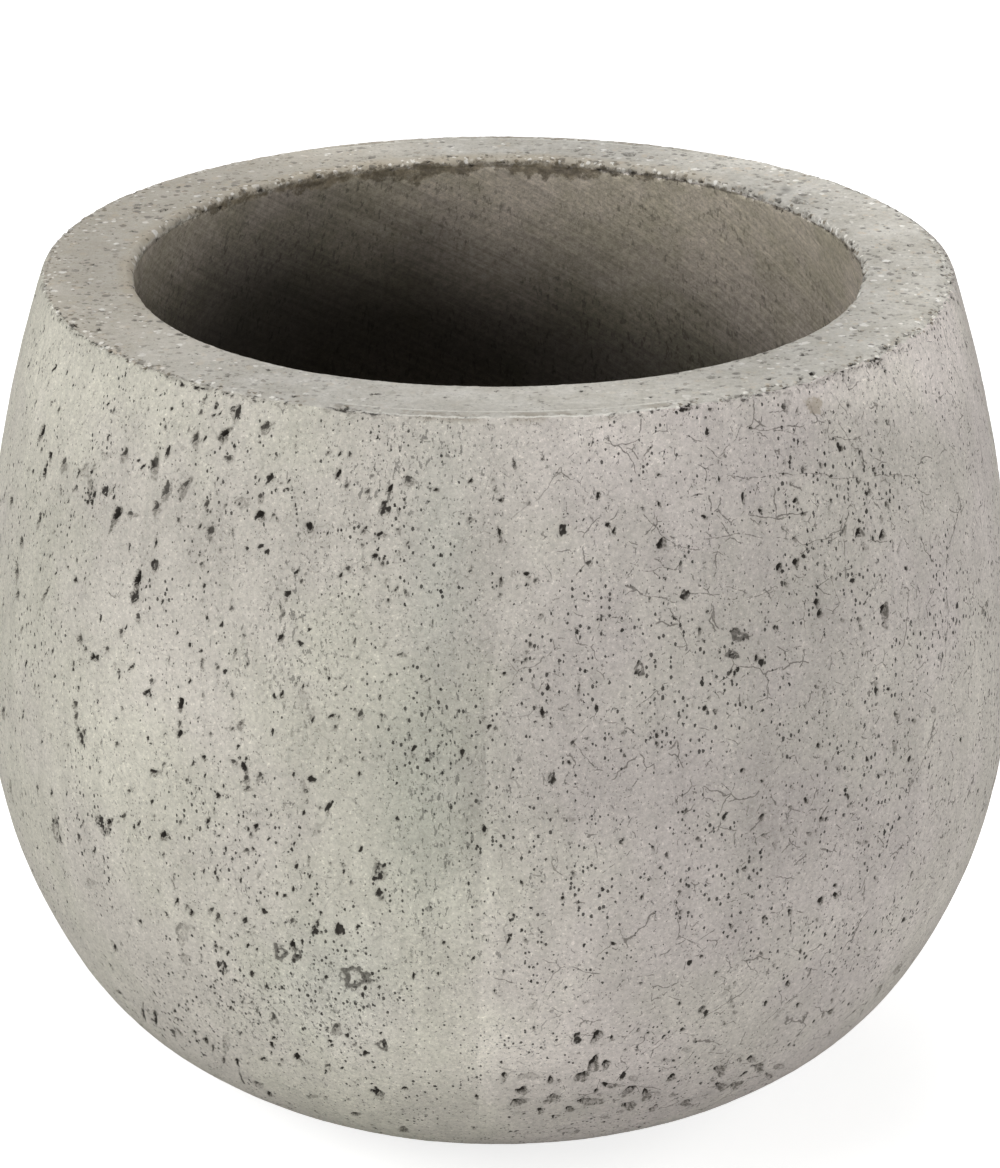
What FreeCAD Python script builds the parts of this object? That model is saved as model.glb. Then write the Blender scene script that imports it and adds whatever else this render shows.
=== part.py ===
import FreeCAD, Part
import math
import os

# Cast stone planter: a squat round bowl with a thick wall and a flat ground rim, a sleeved drain
# in its floor, a rubber plug in the drain and four pads under the foot.
# Lengths are in millimetres. The ground is z = 0 and the axis of the bowl is the z axis.

# Bowl outside
height = 338.0            # ground to the rim
belly_radius = 210.0      # widest ring
belly_height = 166.5      # widest ring above the ground
rim_inset = 28.5          # from the widest ring in to the rim's outer corner, before it is rounded
flank_radius = 214.0      # arc just below the widest ring
flank_sweep = 30.5        # how far that arc turns, in degrees
foot_radius = 109.0       # flat underside
shoulder_radius = 2.5     # rounding of the rim's outer edge

# Bowl inside
wall = 35.0
floor_thickness = 45.0
cove_radius = 80.0        # rounding between the wall and the floor inside
lip_radius = 3.0          # rounding of the rim's inner edge

# Drain sleeve, cast into the floor
drain_radius = 13.0       # outlet below the plug
sleeve_wall = 3.0         # sleeve around the mouth of the plug's seat
seat_ledge = 2.5          # step from the outlet out to the plug's seat
flange_width = 11.0       # flange around the sleeve, flush with the floor inside
flange_thickness = 4.0

# Plug
plug_length = 18.0        # tapered stem below the head
plug_taper = 1.5          # how much narrower the stem is at its tip
plug_clearance = 0.3      # stem to its seat, at the side and at the tip
head_overlap = 5.0        # head beyond the mouth of the seat
head_thickness = 5.0
tip_rounding = 1.5
neck_radius = 6.0
neck_height = 7.0
knob_overhang = 4.0       # knob beyond the neck
knob_height = 8.0
head_rounding_share = 0.4    # of the head's thickness
knob_rounding_share = 0.9    # of the knob's overhang or half its height, whichever is less

# Foot pads
pad_thickness = 3.0
pad_radius = 16.0
pad_edge_inset = 15.0     # from the edge of the foot in to the edge of a pad
pad_rounding_share = 0.3  # of the pad's thickness
pad_angles = {
    "foot_pad_front_left": 225.0,
    "foot_pad_front_right": 315.0,
    "foot_pad_rear_left": 135.0,
    "foot_pad_rear_right": 45.0,
}

# Heights that several pieces share
base_level = pad_thickness
floor_level = base_level + floor_thickness

# Radii that the sleeve and the plug share
seat_tip_radius = drain_radius + seat_ledge
seat_mouth_radius = seat_tip_radius + plug_taper
seat_level = floor_level - plug_length - plug_clearance
sleeve_radius = seat_mouth_radius + sleeve_wall
flange_radius = sleeve_radius + flange_width

origin = FreeCAD.Vector(0, 0, 0)
up = FreeCAD.Vector(0, 0, 1)


def at(r, z):
    """Point of the half plane that is turned about the axis of the bowl."""
    return FreeCAD.Vector(r, 0, z)


def on_circle(centre, radius, angle):
    """Point of a circle in the half plane, at an angle in radians above straight out."""
    return centre + at(radius * math.cos(angle), radius * math.sin(angle))


def arc(centre, radius, start, end):
    """Edge along a circle in the half plane, from one angle to another."""
    middle = on_circle(centre, radius, (start + end) / 2)
    return Part.Arc(on_circle(centre, radius, start), middle, on_circle(centre, radius, end)).toShape()


def line(start, end):
    return Part.LineSegment(start, end).toShape()


def direction(start, end):
    """Angle of the line from one point to another, in radians above straight out."""
    return math.atan2(end.z - start.z, end.x - start.x)


def turned(edges):
    """Solid from a closed outline in the half plane."""
    return Part.Face(Part.Wire(edges)).revolve(origin, up, 360)


def rounded_outline(corners):
    """Edges of a closed outline through (r, z, rounding) corners, with an arc at each rounded one."""
    count = len(corners)
    entries = []
    exits = []
    arcs = []
    for index, (r, z, rounding) in enumerate(corners):
        corner = at(r, z)
        back = (at(*corners[index - 1][:2]) - corner).normalize()
        ahead = (at(*corners[(index + 1) % count][:2]) - corner).normalize()
        half_angle = back.getAngle(ahead) / 2
        reach = rounding / math.tan(half_angle)
        entries.append(corner + back * reach)
        exits.append(corner + ahead * reach)
        if rounding > 0:
            bisector = (back + ahead).normalize()
            depth = rounding / math.sin(half_angle) - rounding
            arcs.append(Part.Arc(entries[-1], corner + bisector * depth, exits[-1]).toShape())
    lines = [line(exits[index - 1], entries[index]) for index in range(count)]
    return Part.__sortEdges__(lines + arcs)


def upper_arc_radius():
    """Arc that stands upright at the belly and passes through the rim's outer corner."""
    rise = height - belly_height
    return (rise ** 2 + rim_inset ** 2) / (2 * rim_inset)


def outside_edges():
    """From the foot's edge up over the belly to the outer edge of the flat rim, and where that is."""
    upper_radius = upper_arc_radius()
    upper_centre = at(belly_radius - upper_radius, belly_height)
    flank_centre = at(belly_radius - flank_radius, belly_height)
    sweep = math.radians(flank_sweep)

    # The heel leaves the flank smoothly and runs to the foot's edge
    foot = at(foot_radius, base_level)
    flank_end = on_circle(flank_centre, flank_radius, -sweep)
    inward = (flank_centre - flank_end).normalize()
    chord = foot - flank_end
    heel_radius = chord.Length ** 2 / (2 * chord.dot(inward))
    heel_centre = flank_end + inward * heel_radius

    shoulder_level = height - shoulder_radius
    shoulder_out = math.sqrt((upper_radius - shoulder_radius) ** 2 - (shoulder_level - belly_height) ** 2)
    shoulder_centre = at(upper_centre.x + shoulder_out, shoulder_level)
    shoulder_start = direction(upper_centre, shoulder_centre)

    edges = [
        arc(heel_centre, heel_radius, direction(heel_centre, foot), -sweep),
        arc(flank_centre, flank_radius, -sweep, 0),
        arc(upper_centre, upper_radius, 0, shoulder_start),
        arc(shoulder_centre, shoulder_radius, shoulder_start, math.pi / 2),
    ]
    return edges, at(shoulder_centre.x, height)


def inside_edges():
    """From the inner edge of the flat rim down the wall to the floor, and where the two ends are."""
    upper_radius = upper_arc_radius() - wall
    upper_centre = at(belly_radius - wall - upper_radius, belly_height)
    flank_inside = flank_radius - wall
    flank_centre = at(belly_radius - flank_radius, belly_height)

    lip_level = height - lip_radius
    lip_out = math.sqrt((upper_radius + lip_radius) ** 2 - (lip_level - belly_height) ** 2)
    lip_centre = at(upper_centre.x + lip_out, lip_level)
    lip_end = direction(upper_centre, lip_centre)

    cove_level = floor_level + cove_radius
    cove_out = math.sqrt((flank_inside - cove_radius) ** 2 - (cove_level - belly_height) ** 2)
    cove_centre = at(flank_centre.x + cove_out, cove_level)
    cove_start = direction(flank_centre, cove_centre)

    edges = [
        arc(lip_centre, lip_radius, math.pi / 2, math.pi + lip_end),
        arc(upper_centre, upper_radius, lip_end, 0),
        arc(flank_centre, flank_inside, 0, cove_start),
        arc(cove_centre, cove_radius, cove_start, -math.pi / 2),
    ]
    return edges, at(lip_centre.x, height), at(cove_centre.x, floor_level)


def planter_body():
    """The casting, with the stepped hole that the sleeve is cast into."""
    outside, rim_outer_edge = outside_edges()
    inside, rim_inner_edge, floor_edge = inside_edges()
    flange_level = floor_level - flange_thickness
    rim = [line(rim_outer_edge, rim_inner_edge)]
    hole = [
        line(floor_edge, at(flange_radius, floor_level)),
        line(at(flange_radius, floor_level), at(flange_radius, flange_level)),
        line(at(flange_radius, flange_level), at(sleeve_radius, flange_level)),
        line(at(sleeve_radius, flange_level), at(sleeve_radius, base_level)),
        line(at(sleeve_radius, base_level), at(foot_radius, base_level)),
    ]
    return turned(outside + rim + inside + hole)


def drain_sleeve():
    """Flanged bush with a tapered seat for the plug above a plain outlet."""
    flange_level = floor_level - flange_thickness
    return turned(rounded_outline([
        (drain_radius, base_level, 0),
        (sleeve_radius, base_level, 0),
        (sleeve_radius, flange_level, 0),
        (flange_radius, flange_level, 0),
        (flange_radius, floor_level, 0),
        (seat_mouth_radius, floor_level, 0),
        (seat_tip_radius, seat_level, 0),
        (drain_radius, seat_level, 0),
    ]))


def drain_plug():
    """Tapered stem, a head that rests on the sleeve's flange, and a knob to pull it by."""
    tip_level = floor_level - plug_length
    head_radius = seat_mouth_radius + head_overlap
    head_level = floor_level + head_thickness
    knob_level = head_level + neck_height
    top_level = knob_level + knob_height
    knob_radius = neck_radius + knob_overhang
    head_rounding = head_rounding_share * head_thickness
    knob_rounding = knob_rounding_share * min(knob_overhang, knob_height / 2)
    return turned(rounded_outline([
        (0, tip_level, 0),
        (seat_tip_radius - plug_clearance, tip_level, tip_rounding),
        (seat_mouth_radius - plug_clearance, floor_level, 0),
        (head_radius, floor_level, 0),
        (head_radius, head_level, head_rounding),
        (neck_radius, head_level, head_rounding),
        (neck_radius, knob_level, 0),
        (knob_radius, knob_level, knob_rounding),
        (knob_radius, top_level, knob_rounding),
        (0, top_level, 0),
    ]))


def foot_pad(angle):
    """Round pad under the foot, with its lower edge eased."""
    pitch_radius = foot_radius - pad_edge_inset - pad_radius
    pad = turned(rounded_outline([
        (0, 0, 0),
        (pad_radius, 0, pad_rounding_share * pad_thickness),
        (pad_radius, pad_thickness, 0),
        (0, pad_thickness, 0),
    ]))
    turn = math.radians(angle)
    pad.translate(FreeCAD.Vector(pitch_radius * math.cos(turn), pitch_radius * math.sin(turn), 0))
    return pad


def all_pieces():
    pieces = {
        "planter_body": planter_body(),
        "drain_sleeve": drain_sleeve(),
        "drain_plug": drain_plug(),
    }
    for name, angle in pad_angles.items():
        pieces[name] = foot_pad(angle)
    return pieces


os.makedirs("parts", exist_ok=True)
for name, shape in all_pieces().items():
    shape.exportStep(f"parts/{name}.step")
    print(f"{name}: {shape.Volume:.0f} mm3, valid {shape.isValid()}, solids {len(shape.Solids)}")
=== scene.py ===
import itertools
import math

import bpy
import numpy as np
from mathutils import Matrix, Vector


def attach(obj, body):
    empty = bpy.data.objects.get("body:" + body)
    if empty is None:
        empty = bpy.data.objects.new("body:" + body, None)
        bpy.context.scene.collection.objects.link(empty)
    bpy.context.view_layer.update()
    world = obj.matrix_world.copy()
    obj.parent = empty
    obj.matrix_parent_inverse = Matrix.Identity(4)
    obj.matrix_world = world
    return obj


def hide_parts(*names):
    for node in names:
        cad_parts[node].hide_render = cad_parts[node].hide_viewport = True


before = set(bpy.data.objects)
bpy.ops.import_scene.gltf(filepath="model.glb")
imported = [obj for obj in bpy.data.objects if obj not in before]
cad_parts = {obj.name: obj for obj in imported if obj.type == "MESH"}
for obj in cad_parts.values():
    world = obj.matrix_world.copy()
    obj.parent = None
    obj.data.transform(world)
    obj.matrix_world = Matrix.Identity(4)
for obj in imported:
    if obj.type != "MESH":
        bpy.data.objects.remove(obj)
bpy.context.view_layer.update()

# Lengths are in millimetres up to the point where a mesh is made, and the frame is in metres
MM = 0.001
SEED = 20417
FULL_TURN = 2 * math.pi

# Sizes of the casting, as in the CAD source
HEIGHT = 338.0
BELLY_RADIUS = 210.0
BELLY_HEIGHT = 166.5
RIM_INSET = 28.5
FLANK_RADIUS = 214.0
FLANK_SWEEP = math.radians(30.5)
FOOT_RADIUS = 109.0
SHOULDER_RADIUS = 2.5
WALL = 35.0
FLOOR_THICKNESS = 45.0
COVE_RADIUS = 80.0
LIP_RADIUS = 3.0
PAD_THICKNESS = 3.0
SLEEVE_RADIUS = 20.0
FLANGE_RADIUS = 31.0
FLANGE_THICKNESS = 4.0
FOOT_ROUNDING = 3.0          # worn edge of the foot
THROAT_SHARE = 1 / 3         # of the arc above the belly inside, where the mesh stays fine below the lip

# The camera of the photo: its distance from the point it aims at, its height angle, and its scale
PHOTO_WIDTH, PHOTO_HEIGHT = 1000, 1168
CAMERA_DISTANCE = 2000.0
CAMERA_ELEVATION = math.radians(21.72)
AIM_HEIGHT = 200.3
AXIS_PIXEL = 498.0           # column of the photo that the planter's axis falls on
FOCAL_PIXELS = 4873.6
SENSOR = 36.0
RAY_NEARER, RAY_FARTHER = 260, 200    # where a pixel's ray is searched, around the camera's distance
RAY_STEPS = 1400

# Spacing of the casting's mesh, around the belly and along each stretch of its outline
FRONT_STEP = 0.7             # where the photo looks
BACK_STEP = 1.3
FRONT_HALF_ANGLE = math.radians(80)
STEP_BLEND = math.radians(20)
ANGLE_SAMPLES = 20001
ROW_STEPS = {
    "foot": 0.8, "heel": 0.85, "flank": 0.8, "upper": 0.75, "shoulder": 0.35, "rim": 0.6, "lip": 0.35,
    "throat": 0.8, "inside": 2.0, "bowl": 3.0, "cove": 3.0, "floor": 3.0, "flange_wall": 2.0, "ledge": 4.0,
    "hole": 10.0, "underside": 4.0,
}
INSIDE_MAP_SHARE = 0.55      # height of a row inside on the texture map, where one outside has 1

# Landmark pits of the photo: the pixel of the middle, width and height in pixels,
# and for a leaning pit how far its top leans to the right, in degrees
DEEP_PITS = [
    # Left, upper half
    (46, 470, 3, 22), (115, 518, 7, 22, 8), (224, 436, 11, 14), (200, 527, 3, 6), (76, 580, 4, 6),
    (156, 543, 4, 8), (42, 434, 4, 20, 15), (137, 582, 8, 18),
    # Centre, upper half
    (310, 527, 8, 9), (261, 516, 8, 14), (287, 489, 4, 4), (390, 490, 6, 9, 30), (381, 535, 10, 6),
    (376, 557, 7, 6), (339, 475, 6, 9), (281, 638, 6, 9), (341, 576, 4, 5), (437, 490, 5, 5),
    (471, 481, 4, 4), (543, 459, 4, 4), (502, 500, 5, 6), (500, 533, 5, 9), (598, 496, 4, 7),
    (608, 525, 7, 5), (614, 531, 4, 6), (528, 575, 5, 7), (527, 585, 4, 5), (501, 582, 4, 8),
    (598, 620, 4, 4), (659, 475, 4, 4), (659, 504, 4, 7), (662, 544, 13, 9, -40), (705, 517, 5, 5),
    # Right, upper half
    (783, 407, 3, 8), (750, 428, 4, 4), (841, 448, 4, 6), (858, 480, 4, 6), (874, 471, 4, 7),
    (743, 499, 3, 11), (760, 511, 3, 7), (796, 501, 4, 7), (804, 514, 5, 4), (860, 533, 7, 11),
    (882, 535, 4, 14, 12), (796, 563, 6, 9), (779, 568, 6, 9), (817, 603, 6, 8), (820, 614, 5, 10),
    (885, 611, 8, 13), (775, 628, 4, 6), (757, 658, 3, 7),
    # Left, middle
    (93, 658, 6, 8), (132, 667, 4, 10, 25), (147, 693, 6, 7), (181, 706, 6, 12), (180, 734, 7, 7),
    (204, 758, 5, 6), (155, 773, 8, 9, 30), (245, 769, 6, 15, -20), (218, 796, 4, 8), (208, 822, 4, 9),
    (109, 823, 5, 10), (164, 836, 7, 11), (78, 689, 3, 5), (190, 681, 4, 4), (73, 664, 3, 5),
    # Centre, middle
    (282, 695, 5, 8), (380, 697, 3, 6), (329, 679, 4, 4), (332, 716, 7, 5), (360, 774, 4, 5),
    (320, 808, 3, 3), (256, 827, 6, 7), (253, 849, 4, 4), (505, 674, 5, 4), (579, 688, 3, 13),
    (543, 714, 4, 8), (489, 727, 5, 5), (657, 744, 4, 4), (624, 755, 3, 3), (706, 709, 5, 4),
    (485, 831, 5, 9), (622, 842, 5, 6), (522, 883, 4, 6), (563, 899, 4, 5, 30),
    # Right, middle
    (819, 746, 4, 5), (763, 782, 4, 6), (762, 818, 5, 7, 20), (822, 819, 4, 5), (847, 795, 4, 4),
    (743, 771, 5, 5), (836, 886, 4, 4), (836, 896, 5, 5, 20), (807, 801, 4, 6), (821, 902, 5, 7),
    (790, 913, 3, 8),
    # Left, bottom
    (177, 902, 5, 6), (192, 913, 5, 8, -25), (259, 902, 3, 4), (277, 894, 3, 3), (285, 896, 4, 5),
    (140, 923, 3, 7, -30), (114, 947, 4, 12, -20), (293, 947, 7, 9), (155, 1017, 12, 5, -55),
    (143, 1014, 15, 4, -50), (195, 1033, 4, 4), (206, 1041, 5, 5), (237, 1062, 6, 4, -50),
    (264, 1060, 9, 3), (274, 1039, 5, 4), (272, 1045, 6, 5), (298, 1059, 8, 7), (271, 1054, 3, 3),
    (270, 1095, 9, 3),
    # Centre, bottom
    (321, 914, 3, 7), (315, 929, 4, 7), (357, 928, 3, 5), (326, 978, 3, 5), (414, 976, 4, 7),
    (438, 974, 3, 3), (429, 989, 3, 3), (381, 1034, 3, 3), (379, 1095, 12, 10), (405, 1089, 6, 3),
    (356, 1114, 10, 3), (404, 1130, 12, 4), (474, 1128, 5, 3), (477, 1097, 5, 4), (504, 1076, 6, 11),
    (501, 1062, 3, 3), (522, 1091, 10, 8), (518, 1102, 14, 7), (495, 991, 3, 7), (534, 1028, 3, 4),
    (509, 940, 3, 13, 28), (514, 916, 3, 4), (540, 1111, 8, 5), (597, 1036, 9, 11), (612, 1038, 4, 5),
    (594, 1065, 12, 12), (606, 1065, 8, 8), (582, 1077, 13, 9), (550, 1080, 7, 6), (592, 1102, 24, 7),
    (630, 1106, 12, 9), (646, 1096, 12, 7, 20), (628, 1091, 8, 12, 70), (596, 1091, 4, 3),
    (570, 1109, 10, 5), (553, 1098, 14, 8), (611, 1086, 16, 5),
    # Right, bottom
    (642, 898, 3, 4), (764, 919, 3, 5, 20), (702, 957, 3, 3), (717, 973, 4, 3), (680, 1004, 3, 3),
    (683, 1030, 4, 4), (648, 1034, 3, 3), (731, 926, 3, 4), (653, 1109, 8, 5), (672, 1079, 8, 5),
    (686, 1104, 10, 5), (721, 1071, 14, 8), (722, 1088, 13, 6), (736, 1086, 11, 6), (759, 1068, 15, 7),
    (752, 1060, 9, 5), (788, 985, 4, 8, 25), (831, 1012, 4, 5, 20),
]
PLAIN_PITS = [
    # Left, upper half
    (11, 503, 3, 14), (22, 542, 4, 15), (17, 573, 3, 22), (18, 596, 3, 12), (46, 594, 3, 18, 15),
    (125, 455, 6, 18), (94, 466, 3, 11), (132, 515, 10, 7), (157, 509, 10, 13), (185, 488, 8, 24, 15),
    (196, 440, 8, 16), (230, 459, 7, 9), (207, 505, 5, 11), (211, 533, 8, 13), (166, 493, 7, 24, 10),
    (155, 466, 9, 26), (156, 567, 5, 12), (202, 565, 5, 6), (80, 640, 5, 13), (138, 619, 5, 9),
    (121, 633, 5, 9), (232, 609, 6, 4),
    # Centre, upper half
    (261, 498, 6, 9), (266, 428, 10, 12), (399, 530, 5, 8), (383, 564, 5, 6), (410, 481, 10, 12),
    (329, 453, 6, 5), (368, 492, 6, 6), (350, 525, 4, 4), (302, 581, 4, 4), (470, 520, 6, 7),
    (471, 572, 5, 5), (468, 577, 3, 3), (472, 567, 3, 3), (399, 553, 3, 9), (409, 543, 5, 6),
    (397, 590, 5, 5), (381, 601, 3, 6), (389, 601, 4, 6), (385, 645, 4, 6), (402, 654, 7, 3),
    (433, 624, 3, 9), (428, 649, 3, 6), (355, 642, 3, 6), (349, 569, 4, 6), (347, 412, 5, 4),
    (376, 414, 10, 5), (515, 466, 3, 9), (558, 473, 5, 3), (493, 481, 4, 7), (496, 490, 4, 7),
    (501, 541, 5, 6), (530, 504, 5, 5), (584, 501, 3, 4), (592, 519, 4, 5), (590, 564, 6, 7),
    (537, 581, 7, 8), (500, 595, 3, 5), (541, 616, 5, 6), (643, 509, 3, 5), (681, 566, 3, 9),
    (708, 612, 4, 4), (700, 631, 4, 7), (531, 645, 5, 6),
    # Right, upper half
    (849, 406, 3, 5), (804, 443, 3, 5), (880, 450, 3, 5), (887, 421, 3, 4), (876, 422, 3, 4),
    (784, 463, 4, 4), (804, 469, 4, 5), (784, 474, 5, 4), (791, 484, 4, 4), (761, 522, 4, 4),
    (783, 528, 3, 8), (795, 539, 5, 5), (899, 548, 2, 12, 15), (786, 585, 4, 6), (885, 624, 7, 8),
    (859, 619, 4, 6), (861, 628, 4, 7), (842, 620, 3, 6),
    # Left, middle
    (107, 650, 5, 6), (85, 650, 4, 5), (119, 673, 4, 6), (152, 682, 5, 8), (202, 664, 5, 11),
    (218, 668, 3, 6), (75, 706, 5, 11), (76, 718, 4, 10), (180, 725, 4, 9), (122, 709, 3, 3),
    (199, 718, 3, 3), (241, 725, 8, 10), (117, 745, 5, 5), (164, 765, 3, 9, 20), (235, 763, 6, 8),
    (247, 779, 7, 10), (241, 783, 3, 5), (196, 789, 3, 3), (187, 780, 3, 3), (214, 811, 3, 7),
    (129, 792, 4, 5), (124, 817, 4, 8), (79, 839, 4, 10), (174, 880, 3, 14), (100, 773, 3, 4),
    (3, 713, 3, 16), (10, 788, 3, 10),
    # Centre, middle
    (282, 671, 3, 3), (390, 698, 3, 3), (340, 679, 3, 3), (363, 680, 3, 3), (382, 683, 3, 6),
    (358, 658, 4, 4), (402, 655, 7, 4), (339, 718, 4, 5), (336, 728, 4, 7), (260, 777, 7, 9),
    (248, 789, 8, 5), (328, 759, 3, 5), (341, 761, 3, 6), (363, 759, 3, 4), (329, 772, 4, 3),
    (306, 791, 5, 5), (307, 801, 4, 4), (285, 804, 3, 3), (251, 836, 4, 8), (247, 851, 5, 6),
    (315, 832, 3, 3), (259, 874, 4, 8), (343, 865, 4, 4), (351, 883, 3, 6), (532, 646, 4, 6),
    (527, 652, 5, 4), (526, 660, 5, 6), (536, 722, 3, 3), (552, 726, 4, 4), (496, 729, 4, 7),
    (623, 733, 4, 4), (623, 720, 4, 4), (573, 744, 4, 5), (588, 739, 3, 3), (671, 773, 3, 3),
    (699, 840, 5, 6), (654, 849, 3, 5), (667, 856, 4, 4), (574, 875, 4, 5), (680, 893, 3, 5),
    # Right, middle
    (874, 684, 6, 6), (817, 687, 4, 4), (792, 787, 3, 5), (791, 808, 4, 4), (849, 806, 3, 3),
    (797, 829, 3, 6), (809, 834, 4, 5), (842, 835, 3, 3), (848, 834, 3, 3), (837, 826, 3, 3),
    (775, 846, 4, 7), (725, 768, 3, 3), (894, 747, 5, 9), (933, 710, 4, 7), (897, 716, 5, 7),
    (914, 721, 4, 5), (910, 780, 5, 5), (821, 856, 3, 4), (745, 870, 4, 4), (880, 775, 6, 3),
    (764, 836, 3, 4), (763, 806, 3, 3), (859, 843, 5, 3), (866, 842, 6, 3), (826, 880, 3, 3),
    (854, 910, 3, 3), (860, 916, 3, 4), (858, 924, 3, 5), (765, 919, 3, 5), (844, 921, 3, 3),
    (876, 879, 5, 3), (957, 866, 3, 4),
    # Left, bottom
    (187, 907, 4, 6), (218, 919, 6, 8), (235, 914, 3, 4), (226, 896, 4, 4), (293, 919, 3, 3),
    (194, 929, 3, 3), (202, 938, 3, 3), (249, 933, 4, 3), (216, 948, 5, 7), (221, 949, 4, 4),
    (120, 994, 4, 9, -40), (174, 1034, 9, 4, -50), (180, 1033, 4, 6, -40), (213, 1047, 8, 3, -50),
    (224, 1060, 7, 3, -55), (241, 1077, 15, 3, -60), (274, 1020, 6, 9), (281, 988, 3, 3),
    (242, 1003, 3, 3), (231, 1009, 7, 5), (252, 1003, 3, 5), (257, 1012, 3, 5), (241, 1034, 3, 3),
    (259, 1085, 14, 4), (188, 1010, 3, 3), (177, 1020, 4, 4),
    # Centre, bottom
    (318, 921, 3, 4), (321, 933, 3, 3), (355, 956, 3, 3), (331, 964, 3, 3), (380, 988, 3, 6),
    (401, 991, 3, 3), (413, 1011, 4, 3), (401, 1030, 3, 3), (403, 1110, 4, 3), (312, 1097, 12, 3),
    (504, 972, 3, 3), (527, 941, 6, 4), (484, 937, 3, 6), (530, 925, 3, 3), (543, 915, 3, 3),
    (584, 1002, 3, 3), (588, 1001, 3, 3), (641, 984, 4, 3), (637, 1051, 3, 3), (559, 1081, 3, 3),
    (620, 1086, 8, 3), (541, 1111, 4, 3), (620, 1112, 6, 3), (556, 1116, 8, 3), (577, 1132, 5, 3),
    (605, 1117, 10, 3), (553, 972, 3, 3),
    # Right, bottom
    (681, 913, 3, 4), (762, 955, 3, 4), (735, 984, 4, 4), (735, 1013, 5, 3), (725, 1025, 3, 3),
    (701, 1028, 3, 3), (673, 1096, 7, 3), (740, 1061, 5, 4), (713, 1081, 5, 3), (779, 1067, 14, 4),
    (769, 1077, 10, 3), (801, 951, 3, 7), (866, 950, 4, 3), (832, 1001, 3, 4), (823, 1016, 3, 5),
    (897, 970, 5, 9, 30), (829, 1034, 4, 3), (879, 990, 4, 8, 30),
]
SHALLOW_PITS = [
    (106, 456, 8, 10), (85, 471, 8, 14), (243, 504, 11, 15), (387, 582, 6, 7), (367, 569, 7, 7),
    (864, 546, 7, 10), (114, 666, 5, 6), (90, 884, 7, 10), (569, 820, 12, 5), (534, 1006, 8, 9),
    (726, 991, 5, 13, 45), (731, 1003, 7, 9), (182, 933, 13, 22), (186, 960, 8, 14, -25),
    (226, 1044, 16, 9, -55), (588, 1078, 12, 4), (656, 1094, 12, 4), (633, 1079, 14, 4),
    (666, 1061, 9, 4), (686, 1051, 10, 4), (529, 1076, 20, 7),
]
ROUGH_PATCHES = [
    (91, 493, 7, 26), (108, 492, 11, 8), (235, 413, 10, 14), (135, 599, 10, 12), (385, 508, 9, 13),
    (563, 529, 5, 6), (81, 738, 9, 20), (99, 823, 8, 10), (106, 832, 9, 8), (57, 831, 10, 25),
    (379, 872, 12, 20), (315, 928, 6, 9), (340, 931, 7, 9), (222, 968, 8, 12), (380, 897, 5, 9),
    (578, 1038, 5, 8),
]
RING_SCARS = [
    (738, 636, 13, 14), (731, 654, 11, 10), (685, 595, 7, 9), (640, 668, 8, 13), (551, 778, 6, 9),
    (280, 953, 10, 18), (297, 955, 8, 12), (355, 979, 22, 24), (382, 1046, 9, 9), (703, 1011, 10, 6),
]

# Lighter and darker areas of the front: pixel of the middle, half width, half height, change of tone
TONE_AREAS = [
    # Rim
    (95, 268, 60, 55, -0.13), (190, 195, 90, 35, -0.05), (930, 310, 60, 70, 0.40),
    (880, 380, 80, 30, 0.22), (890, 215, 70, 40, 0.38), (830, 175, 60, 25, 0.32),
    (786, 190, 5, 3.4, -0.6), (803, 197, 6, 2.5, -0.4), (600, 393, 230, 16, 0.18),
    (740, 158, 90, 22, 0.48), (500, 142, 90, 12, 0.10), (345, 148, 100, 18, 0.26),
    # Body, from the top down
    (640, 440, 130, 45, 0.20), (160, 520, 140, 60, -0.09), (420, 550, 60, 40, -0.06),
    (590, 520, 60, 60, 0.06), (800, 600, 80, 90, -0.11), (985, 680, 30, 200, 0.08),
    (140, 710, 90, 90, 0.08), (430, 770, 120, 70, -0.10), (800, 780, 70, 80, -0.13),
    (620, 790, 120, 50, -0.07), (230, 900, 60, 60, -0.05), (500, 930, 190, 70, 0.13),
    (480, 1040, 170, 60, 0.30), (575, 1100, 110, 25, -0.10), (700, 1080, 110, 40, -0.02),
    (300, 880, 280, 140, 0.08), (40, 330, 40, 80, 0.12), (60, 420, 90, 70, 0.06),
    (300, 1060, 150, 50, 0.06), (930, 960, 60, 90, 0.15), (60, 700, 90, 110, 0.03),
    (190, 690, 80, 110, 0.05), (60, 370, 70, 60, 0.05), (200, 970, 120, 50, 0.05),
    (560, 1060, 110, 40, 0.06), (190, 855, 70, 50, -0.04), (190, 350, 70, 40, 0.06),
    (790, 450, 110, 45, -0.08), (560, 655, 60, 50, -0.06), (690, 950, 70, 60, -0.06),
    (440, 850, 60, 40, -0.06), (790, 850, 90, 50, -0.05),
]

# Cooler greys and rough, granular skin: pixel of the middle, half width and half height
COOL_AREAS = [
    (440, 570, 32, 130), (425, 800, 50, 120), (330, 980, 70, 60),
]
ROUGH_AREAS = [
    (432, 800, 42, 190), (330, 1010, 80, 70), (395, 470, 60, 60), (300, 640, 60, 120),
    (250, 1000, 60, 60),
]

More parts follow.
